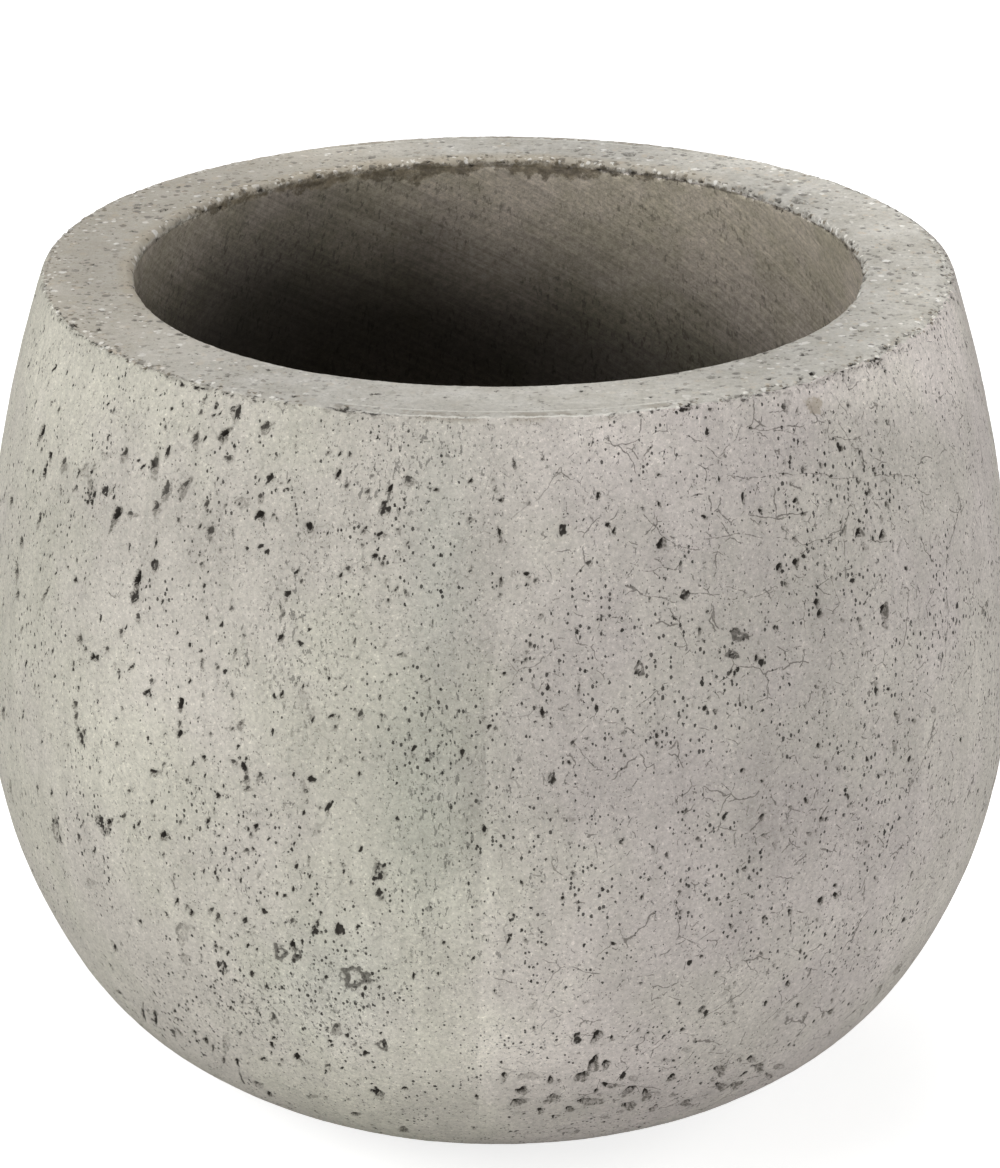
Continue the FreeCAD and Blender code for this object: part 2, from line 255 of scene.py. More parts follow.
# Cracks of the photo, as pixels along them
CRACKS = [
    [(739, 426), (733, 439)], [(750, 430), (780, 429), (795, 435)], [(835, 437), (854, 439), (861, 435)],
    [(706, 448), (719, 457)], [(727, 476), (740, 478), (767, 476)],
    [(780, 474), (808, 474), (824, 476), (841, 479), (857, 477)], [(876, 476), (894, 474), (920, 478)],
    [(750, 517), (767, 517), (787, 517)], [(680, 547), (701, 549)], [(644, 571), (673, 568), (680, 562)],
    [(640, 595), (662, 597), (675, 603)], [(706, 540), (712, 539), (736, 533), (762, 538)],
    [(783, 530), (803, 544), (824, 538), (839, 531), (842, 516)], [(684, 593), (717, 594)],
    [(728, 586), (745, 593)], [(745, 602), (762, 593), (774, 592)], [(644, 514), (662, 533), (680, 551)],
    [(680, 893), (677, 903), (681, 913), (678, 936), (690, 940), (700, 948)], [(762, 818), (752, 830)],
    [(791, 807), (801, 811)], [(806, 969), (816, 969)], [(495, 978), (513, 983)],
    [(173, 880), (175, 888)], [(790, 913), (790, 936)], [(108, 592), (112, 596), (117, 597), (120, 593)],
    [(866, 885), (864, 905)],
]

# Brown stain under the rim: pixel of the middle, half width and half height
STAIN = (815, 404, 15, 11)

# The mould seam down the front: columns of the photo at some of its rows, the rows where it begins, is clear,
# begins to end and has ended, and the change of tone on its right and left
SEAM_HEIGHTS = (480, 600, 700, 900, 1130)
SEAM_COLUMNS = (500, 500, 488, 480, 478)
SEAM_SPAN = (560, 660, 1090, 1130)
SEAM_PALE, SEAM_DARK = 0.09, 0.08

# Columns of the photo where the rim's burr begins, is full, begins to end and has ended, and where the crazed
# skin begins and is full, with its share on the side that the photo doesn't show
BURR_SPAN = (310, 360, 640, 730)
CRAZE_COLUMNS = (420, 640)
HIDDEN_CRAZE = 0.6

# Darker towards the foot: heights where it is full and has ended, and its change of tone
FOOT_DARK_HEIGHTS = (4, 34)
FOOT_DARK_TONE = 0.16

# Noises of the surface: wavelength, and what is added to the seed
NOISES = {
    "wobble": (2.6, 0), "broad": (85.0, 1), "middle": (26.0, 2), "short": (7.0, 3), "coarse": (3.4, 4),
    "crowd": (70.0, 5), "patch": (18.0, 6), "blur": (9.0, 7), "jag": (1.35, 8), "depth": (30.0, 9),
    "crack_across": (5.5, 10), "crack_up": (5.5, 11), "crack_fine": (2.2, 12),
}

# Numbers of the pits that are placed at random
SCATTERED_COUNT = 2200
DASH_COUNT = 380
EDGE_COUNT = 1300
RIM_TOP_COUNT = 380
LIP_COUNT = 420
PATCH_SPECKS = 9
SCAR_SPECKS = 3

# Sizes of those pits: the least half width, and how far larger ones spread
SCATTERED_SIZE = (0.62, 0.62)
DASH_SIZE = (0.46, 0.42)
EDGE_SIZE = (0.4, 0.45)
RIM_TOP_SIZE = (0.45, 0.42)
LIP_SIZE = (0.6, 0.5)
MOST_SCATTERED = 4.0         # half width
FRONT_LEAST, FRONT_GROWTH = 0.55, 0.3    # scattered pits at the front are smaller

# Angles from the front: where the photo places the larger pits, where the left has dashes, and the right side
PHOTO_SIDE = math.radians(72)
DASH_DEGREES = (-78, -14)
RIGHT_SIDE_END = 1.7

# A pit: how far its deepest part lies towards its upper left, and where the shadow under its upper left edge
# ends, as shares of its half width, the waves of its outline as times around and heights, and its limits
PIT_LEAN = 0.36
CRESCENT = 1.16
PIT_WAVES = ((2, 0.16), (3, 0.14), (5, 0.10))
WOBBLE_SHARE, JAG_SHARE = 0.22, 0.26
RING_MIDDLE, RING_HALF_WIDTH = 0.75, 0.32
DEEPEST_PIT = 3.4
LEAST_HALF_WIDTH, MOST_HALF_WIDTH = 0.6, 7.0
CORE_SIZES, CORE_SHARES = (1.0, 3.5), (1.45, 0.9)    # the dark core takes up less of a larger pit
FAR_AWAY = 9                 # distance from a pit or a crack where none is near

# Stretches of the rim's outer edge, in degrees from the front: where each begins, is full, begins to end and
# has ended, and the half width of the stretch at the front that the grinding left clean, in radians
FRONT_WEAR = (14, 34, 85, 120)
CLEAN_FRONT = 0.48

# Stretches of the rim and the inside, in degrees from the middle of the back, more to the right as the photo
# shows it: where each begins, is full, begins to end and has ended
RIGHT_CHIPS = (0, 30, 95, 120)
LEFT_CHIPS = (-125, -100, -60, -40)
LEFT_CHIP_SHARE = 0.45
TATTERS = (-66, -50, 18, 44)
LEFT_RIM = (-150, -110, -30, 0)
BEVELED_LIP = (-130, -105, 26, 50)
# LEFT_WALL is where the top of the left wall inside gets painted light
LEFT_WALL = (-150, -110, -60, -30)

# How far down the painted light at the top of the inside reaches, at some of these degrees
PALE_DEGREES = (-150, -100, -50, 22)
PALE_DEPTHS = (125, 40, 40, 125)

# Trowel strokes inside: how steeply they fall to the right, and the radius that they are laid out on
STROKE_FALL = math.radians(30)
INSIDE_RADIUS = 160.0

# What the stone's material reads from the mesh, and the limits that some of it is held to
ATTRIBUTES = (
    "pit", "shade", "dark", "shadow_strength", "into_rim", "corner", "burr", "flakes", "speckled", "bevel", "below_lip",
    "torn", "sweep", "course", "tone", "cool", "rough", "stain", "craze", "crack", "near_crack",
)
LIMITS = {
    "into_rim": (-40, 40), "corner": (-40, 40), "below_lip": (-20, 200), "torn": (-9, 9), "stain": (-9, 1),
}

# Soft lamps: degrees to the right of the camera and above the floor, distance, width, height and power
LAMPS = {
    "key_left": (-65, 28, 2.4, 1.2, 1.2, 27.5),
    "side_left": (-92, 32, 2.4, 1.2, 1.2, 9.0),
    "fill_front": (8, 6, 2.3, 1.6, 0.9, 14.0),
    "fill_above": (12, 12, 2.4, 1.2, 0.7, 10.5),
    "fill_right": (93, 16, 1.95, 0.9, 1.2, 14.5),
    "rim_back": (180, 42, 2.2, 1.6, 0.8, 13.5),
    "top": (0, 88, 2.0, 1.2, 1.2, 13.5),
}

# Where the lamps look, the light that comes from all round, half the floor's width, and how the floor's glow
# rises: the distances from the planter where it begins and is full, and its strength there
LIT_POINT = (0.0, 0.0, 0.18)
AMBIENT = 0.02
FLOOR_HALF = 6.0
FLOOR_GLOW = (0.8, 2.4, 0.74, 1.0)
WHITE = (1.0, 1.0, 1.0, 1.0)


# Outline of the casting

def arc(centre, radius, start, end):
    """Function of a share from 0 to 1 that runs along a circle in the half plane, and its length."""
    def at(share):
        angle = start + (end - start) * share
        return np.stack([centre[0] + radius * np.cos(angle), centre[1] + radius * np.sin(angle)], 1)
    return at, radius * abs(end - start)


def line(start, end):
    start, end = np.array(start, float), np.array(end, float)
    return (lambda share: start + (end - start) * share[:, None]), float(np.linalg.norm(end - start))


def bend(start, corner, end):
    """Rounded corner from one point to another."""
    start, corner, end = (np.array(point, float) for point in (start, corner, end))

    def at(share):
        t = share[:, None]
        return start * (1 - t) ** 2 + 2 * corner * t * (1 - t) + end * t ** 2
    return at, float(np.linalg.norm(corner - start) + np.linalg.norm(end - corner))


def direction(start, end):
    return math.atan2(end[1] - start[1], end[0] - start[0])


def on_circle(centre, radius, angle):
    return centre + radius * np.array([math.cos(angle), math.sin(angle)])


def upper_arc():
    """Centre and radius of the arc that stands upright at the belly and passes the rim's outer corner."""
    rise = HEIGHT - BELLY_HEIGHT
    radius = (rise ** 2 + RIM_INSET ** 2) / (2 * RIM_INSET)
    return np.array([BELLY_RADIUS - radius, BELLY_HEIGHT]), radius


def at_level(centre, reach, level):
    """Point at a height of the half plane that lies at a distance outward from a centre."""
    return np.array([centre[0] + math.sqrt(reach ** 2 - (level - centre[1]) ** 2), level])


def flank_middle():
    return np.array([BELLY_RADIUS - FLANK_RADIUS, BELLY_HEIGHT])


def outside_outline():
    """Paths from the foot up to the outer edge of the flat rim, and the radius of that edge."""
    flank_centre = flank_middle()
    flank_end = on_circle(flank_centre, FLANK_RADIUS, -FLANK_SWEEP)
    foot = np.array([FOOT_RADIUS, PAD_THICKNESS])
    inward = (flank_centre - flank_end) / FLANK_RADIUS
    chord = foot - flank_end
    heel_radius = chord @ chord / (2 * chord @ inward)
    heel_centre = flank_end + inward * heel_radius
    heel_start = direction(heel_centre, foot) + FOOT_ROUNDING / heel_radius
    heel_point = on_circle(heel_centre, heel_radius, heel_start)

    upper_centre, upper_radius = upper_arc()
    shoulder_centre = at_level(upper_centre, upper_radius - SHOULDER_RADIUS, HEIGHT - SHOULDER_RADIUS)
    shoulder_start = direction(upper_centre, shoulder_centre)
    return {
        "foot": bend((FOOT_RADIUS - FOOT_ROUNDING, PAD_THICKNESS), foot, heel_point),
        "heel": arc(heel_centre, heel_radius, heel_start, -FLANK_SWEEP),
        "flank": arc(flank_centre, FLANK_RADIUS, -FLANK_SWEEP, 0),
        "upper": arc(upper_centre, upper_radius, 0, shoulder_start),
        "shoulder": arc(shoulder_centre, SHOULDER_RADIUS, shoulder_start, math.pi / 2),
    }, shoulder_centre[0]


def inside_outline(rim_edge):
    """Paths over the flat rim, down the inside, through the drain's hole and back under the foot."""
    upper_centre, upper_radius = upper_arc()
    inner_radius = upper_radius - WALL
    lip_centre = at_level(upper_centre, inner_radius + LIP_RADIUS, HEIGHT - LIP_RADIUS)
    lip_end = direction(upper_centre, lip_centre)
    throat_end = lip_end - lip_end * THROAT_SHARE

    flank_centre = flank_middle()
    flank_inside = FLANK_RADIUS - WALL
    floor_level = PAD_THICKNESS + FLOOR_THICKNESS
    cove_centre = at_level(flank_centre, flank_inside - COVE_RADIUS, floor_level + COVE_RADIUS)
    cove_start = direction(flank_centre, cove_centre)
    flange_level = floor_level - FLANGE_THICKNESS
    drain = {
        "floor": (cove_centre[0], floor_level),
        "flange_wall": (FLANGE_RADIUS, floor_level),
        "ledge": (FLANGE_RADIUS, flange_level),
        "hole": (SLEEVE_RADIUS, flange_level),
        "underside": (SLEEVE_RADIUS, PAD_THICKNESS),
    }
    corners = [*drain.values(), (FOOT_RADIUS - FOOT_ROUNDING, PAD_THICKNESS)]
    curved = {
        "rim": line((rim_edge, HEIGHT), (lip_centre[0], HEIGHT)),
        "lip": arc(lip_centre, LIP_RADIUS, math.pi / 2, math.pi + lip_end),
        "throat": arc(upper_centre, inner_radius, lip_end, throat_end),
        "inside": arc(upper_centre, inner_radius, throat_end, 0),
        "bowl": arc(flank_centre, flank_inside, 0, cove_start),
        "cove": arc(cove_centre, COVE_RADIUS, cove_start, -math.pi / 2),
    }
    return curved | {name: line(*ends) for name, ends in zip(drain, itertools.pairwise(corners))}


class Rows:
    """The rows of the casting's mesh: radius, height, outward normal and distance along the outline."""

    def __init__(self):
        outside, rim_edge = outside_outline()
        points, self.first = [], {}
        self.count = 0
        for name, (path, length) in (outside | inside_outline(rim_edge)).items():
            steps = max(2, math.ceil(length / ROW_STEPS[name]))
            self.first[name] = self.count
            points.append(path(np.arange(steps) / steps))
            self.count += steps
        self.first["end"] = self.count
        points = np.concatenate(points)
        self.radius, self.height = points.T
        ahead = np.roll(points, -1, 0) - np.roll(points, 1, 0)
        ahead /= np.linalg.norm(ahead, axis=1)[:, None]
        self.out, self.up = ahead[:, 1], -ahead[:, 0]
        steps = np.linalg.norm(np.roll(points, -1, 0) - points, axis=1)
        self.along = np.concatenate([[0], np.cumsum(steps)[:-1]])

    def span(self, start, end):
        return slice(self.first[start], self.first[end])

    def start(self, name):
        """Distance along the outline to the start of a stretch."""
        return self.along[self.first[name]]

    def rim_corner(self):
        """Distance along the outline to the middle of the rim's outer edge."""
        return (self.start("shoulder") + self.start("rim")) / 2


def column_angles():
    """Angles of the columns from the front, closer together where the photo looks."""
    angles = np.linspace(-math.pi, math.pi, ANGLE_SAMPLES)
    back = np.clip((np.abs(angles) - FRONT_HALF_ANGLE) / STEP_BLEND, 0, 1)
    density = BELLY_RADIUS / (FRONT_STEP + (BACK_STEP - FRONT_STEP) * back)
    steps = (density[1:] + density[:-1]) / 2 * np.diff(angles)
    total = np.concatenate([[0], np.cumsum(steps)])
    count = int(total[-1])
    return np.interp(np.arange(count) * total[-1] / count, total, angles)


# Noise and smooth changes

def lattice_noise(points, name):
    """Smooth noise from -1 to 1 at points in millimetres, from hashed values at the corners of a lattice."""
    wavelength, number = NOISES[name]
    seed = SEED + number
    scaled = points / wavelength
    cell = np.floor(scaled)
    share = (scaled - cell).astype(np.float32)
    weight = share * share * (3 - 2 * share)
    cell = cell.astype(np.int64).astype(np.uint32)
    total = np.zeros(points.shape[:-1], np.float32)
    primes = np.array([73856093, 19349663, 83492791], np.uint32)
    for corner in itertools.product((0, 1), repeat=3):
        mixed = (cell + np.array(corner, np.uint32)) * primes
        value = mixed[..., 0] ^ mixed[..., 1] ^ mixed[..., 2] ^ np.uint32(seed * 2654435 % 4294967291)
        value = (value ^ (value >> np.uint32(13))) * np.uint32(1274126177)
        value = (value ^ (value >> np.uint32(16))) & np.uint32(0xFFFF)
        part = np.ones(points.shape[:-1], np.float32)
        for axis, side in enumerate(corner):
            part = part * (weight[..., axis] if side else 1 - weight[..., axis])
        total += part * (value.astype(np.float32) / 32767.5 - 1)
    return total


def smooth_step(value, low, high):
    share = np.clip((value - low) / (high - low), 0, 1)
    return share * share * (3 - 2 * share)


def plateau(value, start, full, ebb, end):
    """0 before the start, 1 from where it is full to where it ebbs, and 0 after the end."""
    return smooth_step(value, start, full) * (1 - smooth_step(value, ebb, end))


def soft_spot(x, y, middle_x, middle_y, wide, high):
    """1 in the middle of an area of the photo, fading to 0 around it."""
    return np.exp(-((x - middle_x) / wide) ** 2 - ((y - middle_y) / high) ** 2)


# The photo on the casting

def camera_axes():
    """Directions ahead of the photo's camera and up in its picture, and the place of the camera."""
    ahead = np.array([0, math.cos(CAMERA_ELEVATION), -math.sin(CAMERA_ELEVATION)])
    upward = np.array([0, math.sin(CAMERA_ELEVATION), math.cos(CAMERA_ELEVATION)])
    return ahead, upward, np.array([0, 0, AIM_HEIGHT]) - CAMERA_DISTANCE * ahead


class PhotoRays:
    """Finds the point of the planter's outside that a pixel of the photo shows."""

    def __init__(self, rows):
        outside = rows.span("heel", "rim")
        self.heights = rows.height[outside]
        self.radii = rows.radius[outside]
        self.along = rows.along[outside]
        self.ahead, self.upward, self.eye = camera_axes()
        self.depths = np.linspace(CAMERA_DISTANCE - RAY_NEARER, CAMERA_DISTANCE + RAY_FARTHER, RAY_STEPS)

    def hit(self, x, y):
        """(angle from the front, distance along the outline), or None where the pixel misses."""
        ray = self.ahead + np.array([1, 0, 0]) * (x - AXIS_PIXEL) / FOCAL_PIXELS
        ray = ray + self.upward * (PHOTO_HEIGHT / 2 - y) / FOCAL_PIXELS
        points = self.eye + self.depths[:, None] * ray
        gap = np.hypot(points[:, 0], points[:, 1]) - np.interp(points[:, 2], self.heights, self.radii)
        inside = (gap < 0) & (points[:, 2] > self.heights[0]) & (points[:, 2] < self.heights[-1])
        if not inside.any():
            return None
        index = max(1, int(np.argmax(inside)))
        share = gap[index - 1] / (gap[index - 1] - gap[index])
        point = points[index - 1] + (points[index] - points[index - 1]) * share
        return math.atan2(point[0], -point[1]), float(np.interp(point[2], self.heights, self.along))

    def spread(self, x, y):
        """Millimetres around and up that the surface moves for one pixel to the right and for one down."""
        around = []
        for dx, dy in ((-0.5, 0), (0.5, 0), (0, -0.5), (0, 0.5)):
            found = self.hit(x + dx, y + dy)
            if found is None:
                return None
            radius = np.interp(found[1], self.along, self.radii)
            around.append((found[0] * radius, found[1]))
        left, right, above, below = np.array(around)
        return np.stack([right - left, below - above], 1)


def photo_view(relief):
    """Pixel of the photo where each point of the casting falls, and how squarely it faces the camera."""
    ahead, upward, eye = (axis.astype(np.float32) for axis in camera_axes())
    sight = relief.points - eye
    depth = sight @ ahead
    x = AXIS_PIXEL + FOCAL_PIXELS * sight[..., 0] / depth
    y = PHOTO_HEIGHT / 2 - FOCAL_PIXELS * (sight @ upward) / depth
    out, up = relief.rows.out[:, None], relief.rows.up[:, None]
    toward = out * np.sin(relief.angles) * sight[..., 0] - out * np.cos(relief.angles) * sight[..., 1]
    return x, y, -(toward + up * sight[..., 2]) / np.linalg.norm(sight, axis=-1)


# Relief

class Pit:
    """A kind of pit: its depth as a share of its half width, how much of it is dark, how dark that part and
    the rest of its floor are, and whether it is a ring. The dark part and the darker floor are painted shade,
    with painted shadow under the upper left edge."""

    def __init__(self, depth, core, shadow_strength, shade, ring=False):
        self.depth, self.core, self.shadow_strength, self.shade, self.ring = depth, core, shadow_strength, shade, ring


# Each kind's dark core and darker floor are painted shade, and the dark under its upper left edge is a
# painted shadow
DEEP = Pit(1.1, 0.6, 0.97, 0.72)
PLAIN = Pit(0.7, 0.4, 0.75, 0.46)
SHALLOW = Pit(0.2, 0.0, 0.36, 0.3)
ROUGH = Pit(0.14, 0.0, 0.3, 0.34)
SCAR = Pit(0.22, 0.55, 0.55, 0.42, ring=True)
SPECK = Pit(0.9, 0.8, 0.95, 0.5)


class Relief:
    """Height of the casting's surface over its smooth outline, with what the material needs to know."""

    def __init__(self, rows, angles):
        self.rows, self.angles = rows, angles
        shape = (rows.count, len(angles))
        self.height = np.zeros(shape, np.float32)
        # Distance from the pits' edges with their painted floor shade, and from their painted shade and
        # shadow with its strength
        self.pit = np.full(shape, FAR_AWAY, np.float32)
        self.shade = np.zeros(shape, np.float32)
        self.dark = np.full(shape, FAR_AWAY, np.float32)
        self.shadow_strength = np.zeros(shape, np.float32)
        self.points = on_grid(rows.radius, rows.height, angles)
        self.wobble = lattice_noise(self.points, "wobble")
        self.jag = lattice_noise(self.points, "jag")

    def beside(self, angle, along, size):
        """The part of the mesh within a distance of a place, and how far around and up from it that is."""
        rows = self.rows
        near = np.flatnonzero(np.abs(rows.along - along) < size)
        radius = float(np.interp(along, rows.along, rows.radius))
        turn = np.mod(self.angles - angle + math.pi, FULL_TURN) - math.pi
        columns = np.flatnonzero(np.abs(turn) * radius < size)
        around = turn[columns][None, :] * rows.radius[near][:, None]
        return np.ix_(near, columns), around, (rows.along[near] - along)[:, None]

    def dig(self, angle, along, reach, pit, phases):
        """Sinks one pit. reach holds the pit's two half axes as columns, in millimetres around and up."""
        window, around, up = self.beside(angle, along, float(np.abs(reach).sum(1).max()) * 1.5 + 2.5)
        back = np.linalg.inv(reach)
        a = back[0, 0] * around + back[0, 1] * up
        b = back[1, 0] * around + back[1, 1] * up
        bearing = np.arctan2(b, a)
        swell = 1
        for (times, high), phase in zip(PIT_WAVES, phases):
            swell = swell + high * np.cos(times * bearing + phase)
        ripple = WOBBLE_SHARE * self.wobble[window] + JAG_SHARE * self.jag[window]
        far = np.hypot(a, b) * swell + ripple
        deep = np.hypot(a + PIT_LEAN, b - PIT_LEAN) * swell + ripple
        lower_right = np.hypot(a - PIT_LEAN, b + PIT_LEAN) * swell + ripple
        least = float(np.linalg.norm(reach, axis=0).min())
        scale = min(math.sqrt(abs(np.linalg.det(reach))), 1.6 * least)
        if pit.ring:
            far, scale = np.abs(far - RING_MIDDLE) / RING_HALF_WIDTH, scale * RING_HALF_WIDTH
            deep = lower_right = far
        edge = (far - 1) * scale
        core = pit.core * np.interp(scale, CORE_SIZES, CORE_SHARES)
        # Painted shade at the deepest part, which lies towards the upper left, and painted shadow under the
        # upper left edge
        dark = np.maximum(edge, np.minimum(deep - core, CRESCENT - lower_right) * scale)
        floor = (1 - smooth_step(deep, 0.25, 1.15)) * (1 - smooth_step(far, 0.75, 1.1))
        depth = min(DEEPEST_PIT, pit.depth * least + 0.15)
        self.height[window] = np.minimum(self.height[window], -depth * floor)
        keep_nearest(self.pit, self.shade, window, edge, pit.shade)
        keep_nearest(self.dark, self.shadow_strength, window, dark, pit.shadow_strength)


def on_grid(out, up, angles):
    """Vectors at every row and column, from their parts outward and upward in each row."""
    grid = np.empty((len(out), len(angles), 3), np.float32)
    grid[..., 0] = out[:, None] * np.sin(angles)
    grid[..., 1] = -out[:, None] * np.cos(angles)
    grid[..., 2] = up[:, None]
    return grid


def keep_nearest(distances, values, window, distance, value):
    """Keeps the least distance in one field, and in another the value that goes with it."""
    nearer = distance < distances[window]
    values[window] = np.where(nearer, value, values[window])
    distances[window] = np.minimum(distances[window], distance)


def draw_phases(rng):
    return rng.uniform(0, FULL_TURN, 3)


def draw_size(rng, least, spread):
    """Random size, mostly close to the least."""
    return least * math.exp(abs(rng.normal(0, spread)))


def upright(size, long, lean):
    """Half axes of a tall pit that leans to the right, in radians."""
    turn = np.array([[math.cos(lean), math.sin(lean)], [-math.sin(lean), math.cos(lean)]])
    return turn @ np.diag([size, size * long])


def photo_pit(relief, rays, mark, pit, rng):
    """Sinks a pit at a pixel of the photo and returns its place and reach, or None where the pixel misses."""
    x, y, wide, high, *lean = mark
    found, spread = rays.hit(x, y), rays.spread(x, y)
    phases = draw_phases(rng)
    if found is None or spread is None:
        return None
    lean = math.radians(lean[0]) if lean else 0.0
    across = np.array([math.cos(lean), math.sin(lean)]) * wide / 2
    tall = np.array([math.sin(lean), -math.cos(lean)]) * high / 2
    reach = np.stack([spread @ across, spread @ tall], 1)
    lengths = np.linalg.norm(reach, axis=0)
    reach = reach * np.clip(lengths, LEAST_HALF_WIDTH, MOST_HALF_WIDTH) / lengths
    relief.dig(found[0], found[1], reach, pit, phases)
    return found, reach


def speckle(relief, centre, reach, count, rng):
    """Small holes scattered over a patch."""
    angle, along = centre
    radius = float(np.interp(along, relief.rows.along, relief.rows.radius))
    for _ in range(count):
        offset = reach @ rng.uniform(-1, 1, 2)
        size = rng.uniform(0.5, 1.0)
        small = np.diag([size, size * rng.uniform(0.8, 1.7)])
        relief.dig(angle + offset[0] / radius, along + offset[1], small, SPECK, draw_phases(rng))


def landmark_pits(relief, rng):
    """The pits of the photo, the shallow ones first, with specks in the rough patches and the ring scars."""
    rays = PhotoRays(relief.rows)
    kinds = (
        (SHALLOW_PITS, SHALLOW, 0),
        (ROUGH_PATCHES, ROUGH, PATCH_SPECKS),
        (RING_SCARS, SCAR, SCAR_SPECKS),
        (PLAIN_PITS, PLAIN, 0),
        (DEEP_PITS, DEEP, 0),
    )
    for marks, pit, specks in kinds:
        for mark in marks:
            placed = photo_pit(relief, rays, mark, pit, rng)
            if placed is not None:
                speckle(relief, *placed, specks, rng)


def scattered_pits(relief, rng):
    """Pits on the sides and the back, which the photo doesn't show, and small ones among the landmarks."""
    rows = relief.rows
    outside = rows.span("heel", "shoulder")
    along = rows.along[outside]
    for _ in range(SCATTERED_COUNT):
        where = rng.uniform(along[0] + 4, along[-1] - 4)
        angle = rng.uniform(-math.pi, math.pi)
        size = min(MOST_SCATTERED, draw_size(rng, *SCATTERED_SIZE))
        long = rng.uniform(0.9, 2.1)
        lean = rng.normal(0, 0.35)
        phases = draw_phases(rng)
        kind = rng.uniform()
        here = float(np.interp(where, along, rows.radius[outside]))
        level = np.interp(where, along, rows.height[outside])
        spot = np.array([[here * math.sin(angle), -here * math.cos(angle), level]])
        crowd = float(lattice_noise(spot, "crowd")[0])
        if rng.uniform() > 0.5 + 0.7 * crowd:
            continue
        deepest = DEEP
        if abs(angle) < PHOTO_SIDE:
            size = FRONT_LEAST + FRONT_GROWTH * (size - SCATTERED_SIZE[0])
            deepest = SPECK
        pit = deepest if kind > 0.5 else PLAIN if kind > 0.2 else SHALLOW
        relief.dig(angle, where, upright(size, long, lean), pit, phases)


def left_dashes(relief, rng):
    """Small upright pits on the left half of the front."""
    along = relief.rows.along[relief.rows.span("heel", "shoulder")]
    for _ in range(DASH_COUNT):
        where = rng.uniform(along[0] + 25, along[-1] - 3)
        angle = math.radians(rng.uniform(*DASH_DEGREES))
        size = draw_size(rng, *DASH_SIZE)
        lean = rng.normal(0.15, 0.3)
        reach = upright(size, rng.uniform(1.0, 2.3), lean)
        relief.dig(angle, where, reach, SPECK if rng.uniform() > 0.55 else PLAIN, draw_phases(rng))


def rim_edge_pits(relief, rng):
    """Grains broken out of the rim's outer edge, fewer at the front and milder off the right side."""
    corner = relief.rows.rim_corner()
    for _ in range(EDGE_COUNT):
        angle = rng.uniform(-math.pi, math.pi)
        size = draw_size(rng, *EDGE_SIZE)
        reach = np.diag([size * rng.uniform(0.9, 2.2), size])
        where = corner - 0.4 + rng.normal(0, 0.9 + 1.6 * float(edge_wear(angle)))
        phases = draw_phases(rng)
        kind = rng.uniform()
        if rng.uniform() > 0.9 * front_share(angle):
            milder = 0.0 if 0 < angle < RIGHT_SIDE_END else 0.12
            shallower = PLAIN if kind > 0.45 + 2.5 * milder else SHALLOW
            relief.dig(angle, where, reach, DEEP if kind > 0.85 + milder else shallower, phases)


def rim_top_pits(relief, rng):
    """Holes in the rim's ground top."""
    top, lip = relief.rows.start("rim"), relief.rows.start("throat")
    for _ in range(RIM_TOP_COUNT):
        angle = rng.uniform(-math.pi, math.pi)
        size = draw_size(rng, *RIM_TOP_SIZE)
        reach = np.diag([size * rng.uniform(1.0, 2.2), size * rng.uniform(0.8, 1.4)])
        phases = draw_phases(rng)
        where = rng.uniform(top, lip - 2)
        relief.dig(angle, where, reach, PLAIN if rng.uniform() > 0.6 else SHALLOW, phases)


def lip_pits(relief, rng):
    """Grains broken out of the rim's inner edge, where it is chipped."""
    lip = relief.rows.start("throat")
    for _ in range(LIP_COUNT):
        angle = rng.uniform(-math.pi, math.pi)
        size = draw_size(rng, *LIP_SIZE)
        reach = np.diag([size * rng.uniform(0.9, 1.8), size])
        phases = draw_phases(rng)
        where = lip - 1.4 + rng.normal(0, 1.1)
        if rng.uniform() < 0.15 + 0.85 * float(lip_chips(angle)):
            relief.dig(angle, where, reach, PLAIN if rng.uniform() > 0.5 else SHALLOW, phases)


def front_share(angle):
    """1 at the middle of the front, fading to 0 at the sides."""
    return np.exp(-(angle / CLEAN_FRONT) ** 2)


def from_back(angle):
    """Degrees from the middle of the back, more to the right as the photo shows it."""
    return np.degrees(math.pi - np.mod(angle, FULL_TURN))


def edge_wear(angle):
    """How far the rim's outer edge is worn away: most at the front right."""
    return plateau(angle, *np.radians(FRONT_WEAR))


def lip_chips(angle):
    """How chipped the rim's inner edge is: most on the right, and less on the left."""
    return plateau(from_back(angle), *RIGHT_CHIPS) + LEFT_CHIP_SHARE * plateau(from_back(angle), *LEFT_CHIPS)


def rim_edges(relief):
    """Distances into the rim, below its lip and out of the torn edge at the back, with ragged outlines."""
    rows, points, angles = relief.rows, relief.points, relief.angles
    relief.coarse = lattice_noise(points, "coarse")
    relief.patch = lattice_noise(points, "patch")
    relief.tattered = plateau(from_back(angles), *TATTERS)
    relief.worn, relief.chips = edge_wear(angles), lip_chips(angles)
    along, throat = rows.along[:, None], rows.start("throat")
    ragged = 0.5 * relief.patch + 0.5 * relief.coarse + 0.4 * relief.wobble + 0.4 * relief.jag
    past_corner = along - rows.rim_corner() + (0.6 + 1.4 * relief.worn) * ragged
    relief.into_rim = np.minimum(past_corner, throat - 1.0 - along + 0.5 * ragged)
    relief.below_lip = along - throat + 1.2 + (0.9 + 0.8 * relief.chips + 1.3 * relief.tattered) * ragged
    reach = relief.tattered * (3.6 + 5.5 * relief.patch + 3.5 * relief.coarse) - 4.0 * (1 - relief.tattered)
    relief.torn = np.maximum(-1.2 - relief.below_lip, relief.below_lip - reach)


